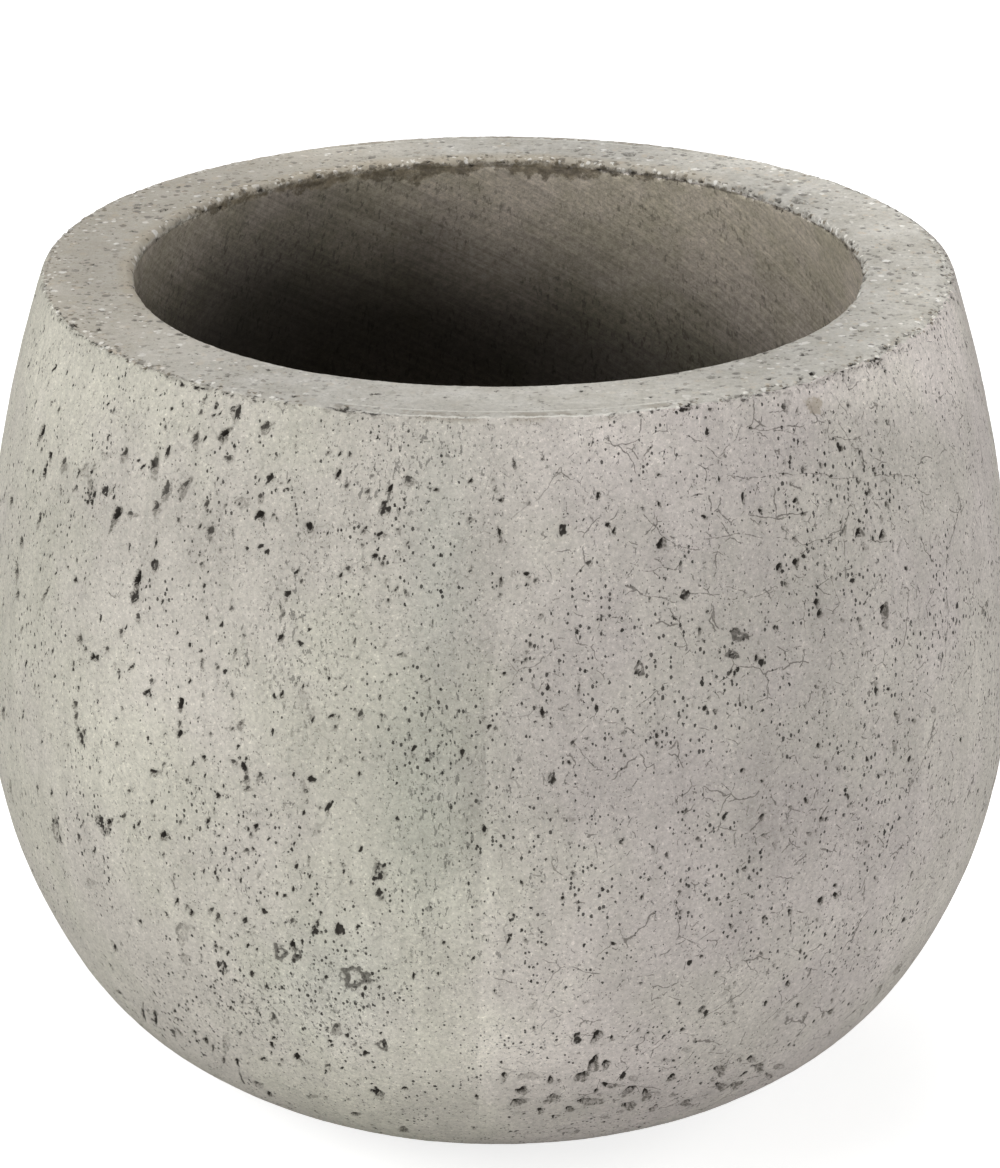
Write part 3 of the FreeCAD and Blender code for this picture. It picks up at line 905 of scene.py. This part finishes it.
def uneven_surface(relief):
    """Unevenness everywhere, worn grain on the rim's edges and a torn edge under the lip at the back."""
    rows, points = relief.rows, relief.points
    uneven = 0.45 * lattice_noise(points, "broad") + 0.16 * lattice_noise(points, "middle")
    fine = 0.08 * lattice_noise(points, "short") + 0.05 * relief.wobble + 0.04 * relief.jag
    level = np.ones(rows.count)
    level[rows.span("rim", "lip")] = 0.3
    level[rows.span("flange_wall", "underside")] = 0.0
    level[rows.span("underside", "end")] = 0.3
    relief.height += (uneven + fine) * level[:, None]

    broken = 0.35 * relief.coarse + 0.25 * relief.wobble + 0.2 * relief.jag
    edge_band = plateau(relief.into_rim, -1.5, 0.0, 1.0, 3.5 + 3.0 * relief.worn)
    edge_band = edge_band * (rows.along[:, None] < rows.start("throat") - 6)
    calm = 1 - 0.7 * (1 - smooth_step(np.abs(from_back(relief.angles)), 60, 95))
    relief.height += calm * edge_band * (-0.25 - 0.7 * relief.worn + broken)
    lip_band = plateau(relief.below_lip, -5.0, -2.0, 0.0, 1.5)
    relief.height += lip_band * ((0.4 + relief.chips + 1.1 * relief.tattered) * broken - 0.15)
    relief.height -= smooth_step(-relief.torn, 0.0, 1.5) * (0.35 + 1.1 * broken)


def rim_marks(relief):
    """Where the rim has a burr, flakes, bared grains and a beige bevel."""
    rows, angles, below_lip = relief.rows, relief.angles, relief.below_lip
    along, to_right = rows.along[:, None], from_back(angles)
    relief.corner = along - rows.rim_corner() + 0.5 * relief.patch + 0.2 * relief.coarse
    edge_flakes = plateau(relief.into_rim, -1.6, -0.2, 0.8, 6.5) * (1 - 0.9 * front_share(angles))
    chipped = (1 - smooth_step(np.abs(below_lip + 1.0), 0.8, 3.2)) * relief.chips
    lip_flakes = np.maximum(chipped, relief.tattered * plateau(below_lip, -9.0, -3.0, -1.0, 0.5))
    relief.flakes = np.where(along < rows.start("throat") - 14, edge_flakes, lip_flakes)
    relief.speckled = np.broadcast_to(1 - 0.8 * front_share(angles), relief.height.shape)
    near_lip = plateau(below_lip, -13.0, -5.0, -1.0, 0.0) * (0.8 + 0.35 * relief.patch)
    relief.bevel = np.maximum(plateau(to_right, *BEVELED_LIP) * near_lip, 0.45 * plateau(to_right, *LEFT_RIM))


def trowel_strokes(relief):
    """Distances across and along the trowel's strokes inside."""
    run = np.radians(from_back(relief.angles)) * INSIDE_RADIUS
    fall = relief.rows.along[:, None] - relief.rows.start("throat")
    relief.sweep = fall * math.cos(STROKE_FALL) - run * math.sin(STROKE_FALL)
    relief.course = fall * math.sin(STROKE_FALL) + run * math.cos(STROKE_FALL)


# Tones and cracks

def photo_marks(relief):
    """What the photo places: tones, the stain, cool, rough and crazed skin, the rim's burr and the cracks."""
    x, y, facing = photo_view(relief)
    seen = smooth_step(facing, 0.05, 0.3)
    seen[relief.rows.first["throat"]:] = 0
    relief.tone = outside_tone(relief, x, y, seen)
    inside = relief.rows.span("throat", "flange_wall")
    # Inside, the tone is painted light and shade
    relief.tone[inside] = inside_tone(relief)[inside]
    middle_x, middle_y, wide, high = STAIN
    stain = 1 - ((x - middle_x) / wide) ** 2 - ((y - middle_y) / high) ** 2
    relief.stain = np.where(seen > 0, stain, -FAR_AWAY)
    relief.cool = np.max([soft_spot(x, y, *area) for area in COOL_AREAS], axis=0) * seen
    relief.rough = np.max([soft_spot(x, y, *area) for area in ROUGH_AREAS], axis=0) * seen
    relief.burr = seen * plateau(x, *BURR_SPAN)
    relief.craze = np.where(facing > 0, smooth_step(x, *CRAZE_COLUMNS), HIDDEN_CRAZE)
    relief.crack, relief.near_crack = cracks(relief, x, y, seen)


def outside_tone(relief, x, y, seen):
    """Change of tone outside: areas of the front, the mould seam and the darkening towards the foot."""
    rows = relief.rows
    tone = np.zeros(x.shape, np.float32)
    for *area, amount in TONE_AREAS:
        tone += amount * seen * soft_spot(x, y, *area)
    blur = lattice_noise(relief.points, "blur")
    seam = x - np.interp(y, SEAM_HEIGHTS, SEAM_COLUMNS) + 1.5 * blur
    along_seam = seen * plateau(y, *SEAM_SPAN)
    tone += along_seam * SEAM_PALE * plateau(seam, -1.0, 1.5, 10, 24)
    tone -= along_seam * SEAM_DARK * plateau(seam, -110, -30, -1.5, 1.0)
    low = rows.height[:, None] + 6 * blur + 4 * relief.wobble
    outside = np.arange(rows.count)[:, None] < rows.first["rim"]
    tone -= FOOT_DARK_TONE * (1 - smooth_step(low, *FOOT_DARK_HEIGHTS)) * outside
    return tone


def inside_tone(relief):
    """Change of tone inside, which is painted light and shade: painted light at the top of the wall at the
    back and right and at the top of the left wall, painted shade further down and on the left, and less of it
    on the floor."""
    rows = relief.rows
    depth = (rows.along - rows.start("throat"))[:, None] + 9 * lattice_noise(relief.points, "depth")
    to_right = from_back(relief.angles)
    painted_light = smooth_step(to_right, -62, 0) * (1 - 0.55 * smooth_step(to_right, 110, 170))
    painted_light = np.maximum(painted_light, 0.45 * smooth_step(to_right, -100, -150))
    pale_depth = np.interp(to_right, PALE_DEGREES, PALE_DEPTHS)
    tone = -0.74 + 0.34 * smooth_step(depth, 70, 185)
    tone = tone + 1.8 * painted_light * (1 - smooth_step(depth, 0, pale_depth))
    return tone + 1.15 * plateau(to_right, *LEFT_WALL) * (1 - smooth_step(depth, 4, 72))


def cracks(relief, x, y, seen):
    """Signed distance from the nearest crack in pixels of the photo, and 1 beside a crack fading to 0."""
    points = relief.points
    x = x + 2.4 * lattice_noise(points, "crack_across") + 1.2 * relief.wobble
    y = y + 2.4 * lattice_noise(points, "crack_up") + 1.2 * lattice_noise(points, "crack_fine")
    signed, beside = np.full(x.shape, FAR_AWAY, np.float32), np.zeros(x.shape, np.float32)
    for crack in CRACKS:
        for (x0, y0), (x1, y1) in itertools.pairwise(crack):
            length = math.hypot(x1 - x0, y1 - y0)
            along = ((x - x0) * (x1 - x0) + (y - y0) * (y1 - y0)) / length
            across = ((x - x0) * (y1 - y0) - (y - y0) * (x1 - x0)) / length
            over = np.maximum(np.maximum(-along, along - length), 0)
            near = np.hypot(across, over)
            closer = (near < np.abs(signed)) & (seen > 0)
            signed[closer] = across[closer]
            share = seen * (1 - smooth_step(near, 1.5, 4.0)) * (1 - smooth_step(over, 0.0, 2.0))
            beside = np.maximum(beside, share)
    return signed, beside


# Mesh

def casting_relief():
    """The casting's surface with everything on it. The order of the pits is that of their random draws."""
    relief = Relief(Rows(), column_angles())
    rng = np.random.default_rng(SEED)
    for pits in (landmark_pits, scattered_pits, left_dashes, rim_edge_pits, rim_top_pits, lip_pits):
        pits(relief, rng)
    for layer in (rim_edges, uneven_surface, rim_marks, trowel_strokes, photo_marks):
        layer(relief)
    return relief


def casting_mesh():
    """Closed mesh of the casting: a grid that is joined to itself both around and along the outline."""
    relief = casting_relief()
    rows = relief.rows
    normals = on_grid(rows.out, rows.up, relief.angles)
    points = (relief.points + normals * relief.height[..., None]) * MM
    index = np.arange(relief.height.size, dtype=np.int32).reshape(relief.height.shape)
    right, above = np.roll(index, -1, 1), np.roll(index, -1, 0)
    corners = np.stack([index, right, np.roll(right, -1, 0), above], -1)

    mesh = bpy.data.meshes.new("planter_casting")
    mesh.vertices.add(index.size)
    mesh.vertices.foreach_set("co", points.astype(np.float32).ravel())
    mesh.loops.add(corners.size)
    mesh.loops.foreach_set("vertex_index", corners.ravel())
    mesh.polygons.add(index.size)
    mesh.polygons.foreach_set("loop_start", np.arange(0, corners.size, 4, dtype=np.int32))
    mesh.polygons.foreach_set("use_smooth", np.ones(index.size, bool))
    mesh.update(calc_edges=True)
    for name in ATTRIBUTES:
        values = np.clip(getattr(relief, name), *LIMITS.get(name, (-math.inf, math.inf)))
        layer = mesh.attributes.new(name, "FLOAT", "POINT")
        layer.data.foreach_set("value", values.astype(np.float32).ravel())
    unwrap(mesh, rows, len(relief.angles))
    return mesh


def unwrap(mesh, rows, column_count):
    """Texture map of the casting, with most of its height given to the outside."""
    weight = np.full(rows.count, 1.0)
    weight[rows.span("throat", "end")] = INSIDE_MAP_SHARE
    top = np.concatenate([[0], np.cumsum(weight)])
    top /= top[-1]
    u = np.arange(column_count + 1) / column_count
    uv = np.empty((rows.count, column_count, 4, 2), np.float32)
    uv[..., 0, 0] = uv[..., 3, 0] = u[:-1]
    uv[..., 1, 0] = uv[..., 2, 0] = u[1:]
    uv[..., 0, 1] = uv[..., 1, 1] = top[:-1, None]
    uv[..., 2, 1] = uv[..., 3, 1] = top[1:, None]
    mesh.uv_layers.new(name="OFBake").data.foreach_set("uv", uv.ravel())


# Shader nodes

def feed(node, inputs):
    """Sets inputs of a shader node, or links them to what other nodes give out, by name or number."""
    for key, value in inputs.items():
        if isinstance(value, Wire):
            node.id_data.links.new(value.socket, node.inputs[key])
        else:
            node.inputs[key].default_value = value


def add(tree, kind, inputs=None, **settings):
    """New shader node with its settings and inputs."""
    node = tree.nodes.new("ShaderNode" + kind)
    for name, value in settings.items():
        setattr(node, name, value)
    feed(node, inputs or {})
    return node


class Wire:
    """What a shader node gives out: a number, a colour or a place. Sums and calls with it add nodes."""

    def __init__(self, socket):
        self.socket = socket

    def node(self, kind, inputs, output=0, **settings):
        """What a new node in the same shader gives out."""
        return Wire(add(self.socket.id_data, kind, inputs, **settings).outputs[output])

    def calc(self, operation, *others):
        return self.node("Math", dict(enumerate((self,) + others)), operation=operation)

    def __add__(self, other):
        return self.calc("ADD", other)

    def __sub__(self, other):
        return self.calc("SUBTRACT", other)

    def __mul__(self, other):
        return self.calc("MULTIPLY", other)

    def __abs__(self):
        return self.calc("ABSOLUTE")

    def largest(self, other):
        return self.calc("MAXIMUM", other)

    def fade(self, low, high, to_low=0.0, to_high=1.0):
        """Smooth change from one value to another as the number goes from low to high."""
        inputs = {"Value": self, "From Min": low, "From Max": high, "To Min": to_low, "To Max": to_high}
        return self.node("MapRange", inputs, interpolation_type="SMOOTHSTEP")

    def pick(self, first, second, mode="MIX"):
        """The first colour where the number is 0, changing to the second where it is 1."""
        return self.node("Mix", {0: self, 6: first, 7: second}, 2, data_type="RGBA", blend_type=mode)

    def painted(self, share, other):
        """The colour with another laid over it, as thickly as the share says."""
        return share.pick(self, other)

    def scaled(self, factor):
        """A colour made lighter or darker, or a place moved away from the origin."""
        return self.node("VectorMath", {0: self, "Scale": factor}, operation="SCALE")

    def stretched(self, height_share):
        """The place with its height changed, so that what is drawn with it gets taller."""
        return self.node("Mapping", {"Vector": self, "Scale": (1.0, 1.0, height_share)})

    def shifted(self, scale, amount):
        """The place pushed about by noise, so that what is drawn with it gets uneven outlines."""
        inputs = {"Vector": self, "Scale": scale, "Detail": 3.0, "Roughness": 0.65}
        pull = self.node("TexNoise", inputs, "Color").scaled(amount)
        return self.node("VectorMath", {0: self, 1: pull}, operation="ADD")

    def noise(self, scale, detail=3.0, roughness=0.55):
        """Noise from 0 to 1 at the place, with scale waves in a metre."""
        inputs = {"Vector": self, "Scale": scale, "Detail": detail, "Roughness": roughness}
        return self.node("TexNoise", inputs)

    def cells(self, scale):
        """Distance from the middle of the cell that the place is in, and two random numbers for that cell."""
        cells = add(self.socket.id_data, "TexVoronoi", {"Vector": self, "Scale": scale})
        pick = add(self.socket.id_data, "SeparateColor", {"Color": Wire(cells.outputs["Color"])})
        return Wire(cells.outputs["Distance"]), Wire(pick.outputs[0]), Wire(pick.outputs[1])


def attribute(tree, name):
    return Wire(add(tree, "Attribute", attribute_name=name).outputs["Fac"])


def place(tree):
    return Wire(add(tree, "TexCoord").outputs["Object"])


def new_material(name):
    material = bpy.data.materials.new(name)
    material.use_nodes = True
    tree = material.node_tree
    tree.nodes.clear()
    shader = add(tree, "BsdfPrincipled")
    output = add(tree, "OutputMaterial", {"Surface": Wire(shader.outputs[0])})
    return material, tree, shader, output


def colour(red, green, blue):
    """Colour as seen on a screen, from 0 to 255 a channel, as the shader wants it."""
    def linear(value):
        value /= 255
        return value / 12.92 if value <= 0.04045 else ((value + 0.055) / 1.055) ** 2.4
    return (linear(red), linear(green), linear(blue), 1.0)


# Colours of the stone
OLIVE_SKIN, MAUVE_SKIN = colour(187, 184, 172), colour(188, 181, 176)
COOL_CAST = (0.965, 0.995, 0.985, 1.0)    # what the cooler greys are multiplied by
STAIN_BROWN = colour(142, 130, 110)
CRACK_BROWN = colour(74, 69, 62)
PINHOLE_BLACK = colour(34, 31, 27)
DARK_CEMENT, PALE_CEMENT = colour(168, 164, 155), colour(188, 185, 178)
BEVEL_BEIGE = colour(171, 161, 143)
BEIGE_GRAIN, WHITE_GRAIN, DARK_GRAIN = colour(186, 172, 152), colour(226, 224, 219), colour(104, 101, 95)
FLAKE_GAP, WHITE_FLAKE = colour(112, 103, 88), colour(226, 223, 216)
BURR_SMEAR, BURR_WHITE = colour(136, 128, 114), colour(220, 218, 211)
INSIDE_OLIVE, INSIDE_MAUVE = colour(132, 126, 112), colour(147, 139, 129)
DARK_CRUST, PALE_CRUST = colour(84, 75, 58), colour(134, 123, 102)
# Pits: a darker ring round them, painted shade on their floors, and painted shade and painted shadow where
# they are deepest and under their upper left edges
PIT_HALO, PIT_FLOOR_SHADE, PIT_PAINTED_SHADOW = colour(92, 87, 78), colour(72, 68, 60), colour(38, 34, 30)

# Colours of the moulded pieces and the floor
SLEEVE_GREY, PLUG_BLACK, PAD_BLACK = colour(52, 53, 52), colour(38, 37, 36), colour(44, 43, 42)
FLOOR_GREY = colour(205, 205, 204)

# Pinholes: cells in a metre, random number of a cell from which it holds one, and their radius in cells
LARGE_PINHOLES = (150.0, 0.72, 0.13)
MIDDLE_PINHOLES = (300.0, 0.61, 0.2)
SMALL_PINHOLES = (650.0, 0.42, 0.36)

# Hairlines: cells in a metre, width in metres, and noise from which a line shows
HAIRLINES = ((30.0, 0.0003, 0.54), (70.0, 0.00026, 0.55), (125.0, 0.00022, 0.61))

# Grains of the rim: cells in a metre, random number from which one is white, one up to which it is dark,
# and strength
RIM_GRAINS = ((480.0, 0.92, 0.12, 0.7), (300.0, 0.92, 0.15, 0.75), (210.0, 0.95, 0.14, 0.8))

# Pale lines of the burr: distance in from the rim's edge, strength
BURR_LINES = ((0.2, 0.7), (5.6, 0.5))

# Trowel strokes: waves in a millimetre across and along them, strength
STROKES = ((0.6, 0.012, 0.15), (0.16, 0.01, 0.07))


# Materials

def skin_colour(tree, where, grain):
    """Cast skin: pale grey with soft clouds and drips, crisp specks and scratches, and a little dust."""
    rough = attribute(tree, "rough")
    cloud = where.noise(38.0, 5.0, 0.65)
    drips = where.stretched(0.07).noise(90.0, 4.0, 0.6)
    hue = where.noise(13.0, 4.0, 0.6).fade(0.38, 0.62, 0.0, 0.45) + attribute(tree, "craze") * 0.55
    tint = hue.pick(OLIVE_SKIN, MAUVE_SKIN)
    tint = tint.scaled(cloud.fade(0.3, 0.7, 0.94, 1.05))
    tint = tint.scaled(drips.fade(0.3, 0.7, 0.94, 1.06))
    tint = tint.scaled(grain.fade(0.28, 0.72, 0.85, 1.145))
    scratch = where.stretched(0.5).noise(700.0, 2.0, 0.6) + rough * 0.065
    worn = where.noise(30.0, 3.0, 0.6).fade(0.42, 0.6).largest(rough)
    tint = tint.scaled((scratch.fade(0.64, 0.68) * worn).fade(0.0, 1.0, 1.0, 0.5))
    dust = where.noise(900.0, 1.0)
    tint = tint.scaled(dust.fade(0.66, 0.71, 1.0, 0.52))
    tint = tint.scaled(dust.fade(0.36, 0.30, 1.0, 1.24))
    return attribute(tree, "cool").pick(tint, COOL_CAST, "MULTIPLY")


def pinholes(where, crowd, scale, chosen_from, widest):
    """Share of each point that lies in a pinhole of one size."""
    distance, chosen, _ = where.shifted(scale * 2.6, 0.5 / scale).stretched(0.7).cells(scale)
    size = chosen.fade(chosen_from, 1.0).calc("POWER", 2.2) * crowd * widest
    return (size - distance).fade(0.0, 0.03)


def all_pinholes(tree, where):
    """Pinholes of three sizes, in crowds, more high up where the skin is crazed and fewer low down there."""
    height = where.node("SeparateXYZ", {"Vector": where}, "Z")
    fewer = attribute(tree, "craze") * height.fade(0.06, 0.18, 0.08, -0.14)
    crowd = where.noise(24.0, 2.0).fade(0.35, 0.65, 0.5, 1.15) - fewer
    large = pinholes(where, crowd, *LARGE_PINHOLES)
    middle = pinholes(where, crowd, *MIDDLE_PINHOLES)
    small = pinholes(where, crowd + attribute(tree, "rough") * 0.15, *SMALL_PINHOLES)
    return large.largest(middle).largest(small * 0.9)


def hairlines(where, scale, width, shown_from):
    """Fine cracks between cells, broken by gaps."""
    wavy = where.shifted(scale * 1.3, 0.4 / scale).shifted(scale * 9.0, 0.05 / scale)
    away = wavy.node("TexVoronoi", {"Vector": wavy, "Scale": scale}, "Distance", feature="DISTANCE_TO_EDGE")
    shown = where.noise(scale * 2.2, 2.0).fade(shown_from, shown_from + 0.04)
    return away.fade(width * scale, width * scale * 0.35) * shown


def all_cracks(tree, where, fine):
    """Hairlines where the skin is crazed, and the cracks that were placed one by one."""
    first, second, third = (hairlines(where, *kind) for kind in HAIRLINES)
    craze = first.largest(second).largest(third) * attribute(tree, "craze").fade(0.0, 1.0, 0.25, 0.85)
    away = abs(attribute(tree, "crack")) - fine.fade(-0.2, 0.2, 0.0, 0.75)
    placed = away.fade(0.35, -0.3) * attribute(tree, "near_crack")
    return craze.largest(placed * 0.85)


def grains(where, scale, reach):
    """Share of each point in a grain of aggregate, and two random numbers for that grain."""
    distance, first, second = where.shifted(scale * 2.0, 0.7 / scale).cells(scale)
    return distance.fade(reach, reach * 0.75), first, second


def rim_colour(tree, where):
    """Ground aggregate: smooth cement with white, beige and dark grains, set apart."""
    tint = where.noise(60.0, 5.0, 0.75).fade(0.3, 0.7).pick(DARK_CEMENT, PALE_CEMENT)
    tint = tint.scaled(where.noise(420.0, 3.0, 0.8).fade(0.28, 0.72, 0.89, 1.11))
    tint = tint.painted(attribute(tree, "bevel") * 0.75, BEVEL_BEIGE)
    patchy = where.noise(40.0, 3.0, 0.6).fade(0.36, 0.54, 0.45, 1.0)
    speckled = attribute(tree, "speckled") * patchy
    for scale, white_from, dark_to, strength in RIM_GRAINS:
        inside, first, second = grains(where, scale, 0.42)
        inside = inside * speckled
        tint = tint.painted(inside * second.fade(0.84, 0.92, 0.0, 0.4), BEIGE_GRAIN)
        tint = tint.painted(inside * first.fade(white_from, white_from + 0.05, 0.0, strength), WHITE_GRAIN)
        tint = tint.painted(inside * first.fade(dark_to, dark_to - 0.04, 0.0, strength * 0.85), DARK_GRAIN)
    return tint


def edge_flakes(tree, where, tint):
    """White grains and brown gaps between them, where the rim's edges are broken."""
    inside, first, second = grains(where, 400.0, 0.45)
    more = attribute(tree, "flakes") * 0.52
    tint = tint.painted(inside * (second + more).fade(1.02, 1.1, 0.0, 0.8), FLAKE_GAP)
    return tint.painted(inside * (first + more).fade(1.08, 1.14, 0.0, 0.8), WHITE_FLAKE)


def burr_lines(tree, where, tint, fine):
    """Two thin pale lines along the front of the rim, with brown smears between them."""
    burr = attribute(tree, "burr")
    corner = attribute(tree, "corner") + fine * 1.6
    broken = where.noise(70.0, 3.0, 0.6)
    smear = abs(corner - 1.5).fade(4.5, 2.0, 0.0, 0.55) * (burr * broken.fade(0.46, 0.58))
    tint = tint.painted(smear, BURR_SMEAR)
    for distance, strength in BURR_LINES:
        share = abs(corner - distance).fade(0.65, 0.2, 0.0, strength) * burr
        tint = tint.painted(share * broken.fade(0.36, 0.5, 0.15, 1.0), BURR_WHITE)
    return tint


def inside_colour(tree, where):
    """Trowelled brown cement inside, with long strokes and short upright nicks."""
    tint = where.noise(22.0, 5.0, 0.7).fade(0.35, 0.65).pick(INSIDE_OLIVE, INSIDE_MAUVE)
    tint = tint.scaled(where.noise(380.0, 4.0, 0.9).fade(0.28, 0.72, 0.70, 1.30))
    for across, along, strength in STROKES:
        course = {"X": attribute(tree, "sweep") * across, "Y": attribute(tree, "course") * along}
        lines = where.node("CombineXYZ", course).noise(1.0, 3.0, 0.7)
        tint = tint.scaled(lines.fade(0.3, 0.7, 1.0 - strength, 1.0 + strength))
    nicks = where.stretched(0.3).noise(520.0, 2.0, 0.6).fade(0.585, 0.64)
    nicks = nicks * where.noise(28.0, 3.0).fade(0.36, 0.58)
    return tint.scaled(nicks.fade(0.0, 1.0, 1.0, 0.64))


def torn_edge(tree, tint, ragged, fine, grain):
    """Brown crust where the edge under the lip is torn."""
    torn = attribute(tree, "torn") + (ragged * 9.0 + fine * 5.0)
    crust = ragged.fade(-0.1, 0.1).pick(DARK_CRUST, PALE_CRUST).scaled(grain.fade(0.3, 0.7, 0.75, 1.25))
    return tint.painted(torn.fade(1.0, -1.5, 0.0, 0.75), crust)


def pit_colour(tree, where, tint, fine):
    """Mottled floors of the pits in painted shade with a darker ring round them, and painted shade where they
    are deepest and painted shadow under their upper left edges.
    """
    edge = attribute(tree, "pit") + fine * 1.6
    shade = attribute(tree, "shade") * where.noise(700.0, 3.0, 0.7).fade(0.40, 0.60, 0.25, 1.0)
    tint = tint.painted(edge.fade(1.1, -0.2, 0.0, 0.45) * shade, PIT_HALO)
    tint = tint.painted(edge.fade(0.2, -0.15) * shade, PIT_FLOOR_SHADE)
    dark = attribute(tree, "dark") + fine * 1.2
    return tint.painted(dark.fade(0.16, -0.16) * attribute(tree, "shadow_strength"), PIT_PAINTED_SHADOW)


def stone_material():
    """Cast stone: skin, stain, cracks, ground rim, pinholes, broken edges, inside, tone and pits, in turn."""
    material, tree, shader, _ = new_material("cast_stone_weathered")
    where = place(tree)
    grain = where.noise(480.0, 3.0, 0.85)
    fine = where.noise(900.0, 3.0, 0.75) - 0.5
    ragged = where.noise(170.0, 4.0, 0.7) - 0.5
    tint = skin_colour(tree, where, grain)
    tint = tint.painted((attribute(tree, "stain") + ragged * 4.5).fade(0.1, 0.6, 0.0, 0.55), STAIN_BROWN)
    tint = tint.painted(all_cracks(tree, where, fine) * 0.8, CRACK_BROWN)
    rim_share = (attribute(tree, "into_rim") + fine * 2.4).fade(-0.25, 0.25)
    tint = tint.painted(rim_share, rim_colour(tree, where))
    holes = all_pinholes(tree, where) * rim_share.fade(0.0, 1.0, 0.95, 0.35)
    tint = tint.painted(holes, PINHOLE_BLACK)
    tint = edge_flakes(tree, where, burr_lines(tree, where, tint, fine))
    inner = (attribute(tree, "below_lip") + fine * 4.0).fade(-0.3, 0.7)
    # The tone is painted light and shade inside, and lighter and darker areas outside
    tint = tint.painted(inner, inside_colour(tree, where)).scaled(attribute(tree, "tone") + 1.0)
    tint = pit_colour(tree, where, torn_edge(tree, tint, ragged, fine, grain), fine)
    height = grain * 0.5 + fine * 0.5 - holes * 0.6
    bump = where.node("Bump", {"Height": height, "Strength": 0.7, "Distance": 0.001})
    roughness = grain.fade(0.2, 0.8, 0.82, 0.95)
    feed(shader, {"Base Color": tint, "Roughness": roughness, "Specular IOR Level": 0.25, "Normal": bump})
    return material


def moulded_material(name, tint, roughness):
    """Moulded plastic or rubber, with a fine grain and a little dust."""
    material, tree, shader, _ = new_material(name)
    where = place(tree)
    dust = where.noise(60.0, 5.0, 0.65)
    dusty = tuple(0.75 * value + 0.06 for value in tint[:3]) + (1.0,)
    bump = where.node("Bump", {"Height": where.noise(1500.0, 2.0), "Strength": 0.15, "Distance": 0.0003})
    feed(shader, {
        "Base Color": dust.fade(0.45, 0.75).pick(tint, dusty),
        "Roughness": dust.fade(0.3, 0.7, roughness - 0.08, roughness + 0.08),
        "Normal": bump,
    })
    return material


# Pieces

def new_object(name, data):
    obj = bpy.data.objects.new(name, data)
    bpy.context.scene.collection.objects.link(obj)
    return obj


def make_casting():
    casting = new_object("planter_casting", casting_mesh())
    casting.data.materials.append(stone_material())
    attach(casting, "planter")
    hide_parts("planter_body")


def dress_nodes():
    """Finishes of the pieces that keep their CAD shape."""
    sleeve = moulded_material("sleeve_moulded", SLEEVE_GREY, 0.55)
    plug = moulded_material("plug_moulded", PLUG_BLACK, 0.7)
    pads = moulded_material("pad_moulded", PAD_BLACK, 0.8)
    for name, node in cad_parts.items():
        if name == "planter_body":
            continue
        finish = sleeve if name == "drain_sleeve" else plug if name == "drain_plug" else pads
        node.data.materials.clear()
        node.data.materials.append(finish)


# Stage

def aimed(obj, target):
    obj.rotation_euler = (Vector(target) - obj.location).to_track_quat("-Z", "Y").to_euler()


def softbox(name, azimuth, elevation, far, wide, high, power):
    """Soft lamp that looks at the planter, from degrees to the right of the camera and above the floor."""
    lamp = bpy.data.lights.new(name, "AREA")
    lamp.shape = "RECTANGLE"
    lamp.size, lamp.size_y, lamp.energy = wide, high, power
    holder = new_object(name, lamp)
    turn, lift = math.radians(azimuth), math.radians(elevation)
    ray = Vector((math.sin(turn) * math.cos(lift), -math.cos(turn) * math.cos(lift), math.sin(lift)))
    holder.location = Vector(LIT_POINT) + ray * far
    aimed(holder, LIT_POINT)


def light_stage():
    for name, lamp in LAMPS.items():
        softbox(name, *lamp)
    world = bpy.data.worlds.new("studio")
    bpy.context.scene.world = world
    world.use_nodes = True
    tree = world.node_tree
    tree.nodes.clear()
    strength = clear_rays(tree) * (1.0 - AMBIENT) + AMBIENT
    background = add(tree, "Background", {"Color": WHITE, "Strength": strength})
    add(tree, "OutputWorld", {"Surface": Wire(background.outputs[0])})


def clear_rays(tree):
    """1 for a ray from the camera or one that glossy or clear surfaces send on, and 0 for light."""
    path = add(tree, "LightPath")
    names = ("Is Camera Ray", "Is Glossy Ray", "Is Transmission Ray")
    camera, glossy, transmission = (Wire(path.outputs[name]) for name in names)
    return camera.largest(glossy).largest(transmission)


def make_floor():
    """Pale floor that glows for the camera, so that it looks white and keeps the planter's shadow."""
    mesh = bpy.data.meshes.new("studio_floor")
    corners = [(-FLOOR_HALF, -FLOOR_HALF, 0), (FLOOR_HALF, -FLOOR_HALF, 0),
               (FLOOR_HALF, FLOOR_HALF, 0), (-FLOOR_HALF, FLOOR_HALF, 0)]
    mesh.from_pydata(corners, [], [(0, 1, 2, 3)])
    floor = new_object("studio_floor", mesh)
    material, tree, shader, output = new_material("studio_floor")
    feed(shader, {"Base Color": FLOOR_GREY, "Roughness": 0.9, "Specular IOR Level": 0.0})
    where = place(tree)
    away = where.node("VectorMath", {0: where}, "Value", operation="LENGTH")
    glow = add(tree, "Emission", {"Color": WHITE, "Strength": clear_rays(tree) * away.fade(*FLOOR_GLOW)})
    both = add(tree, "AddShader", {0: Wire(shader.outputs[0]), 1: Wire(glow.outputs[0])})
    feed(output, {"Surface": Wire(both.outputs[0])})
    mesh.materials.append(material)


def make_camera():
    camera = bpy.data.cameras.new("photo_camera")
    camera.sensor_width = SENSOR
    camera.lens = SENSOR * FOCAL_PIXELS / PHOTO_HEIGHT
    camera.shift_x = (PHOTO_WIDTH / 2 - AXIS_PIXEL) / PHOTO_HEIGHT
    camera.clip_end = 100.0
    holder = new_object("photo_camera", camera)
    aim = Vector((0, 0, AIM_HEIGHT * MM))
    back = Vector((0, -math.cos(CAMERA_ELEVATION), math.sin(CAMERA_ELEVATION)))
    holder.location = aim + back * CAMERA_DISTANCE * MM
    aimed(holder, aim)
    bpy.context.scene.camera = holder


make_casting()
dress_nodes()
light_stage()
make_floor()
make_camera()
bpy.context.scene.view_settings.view_transform = "Standard"
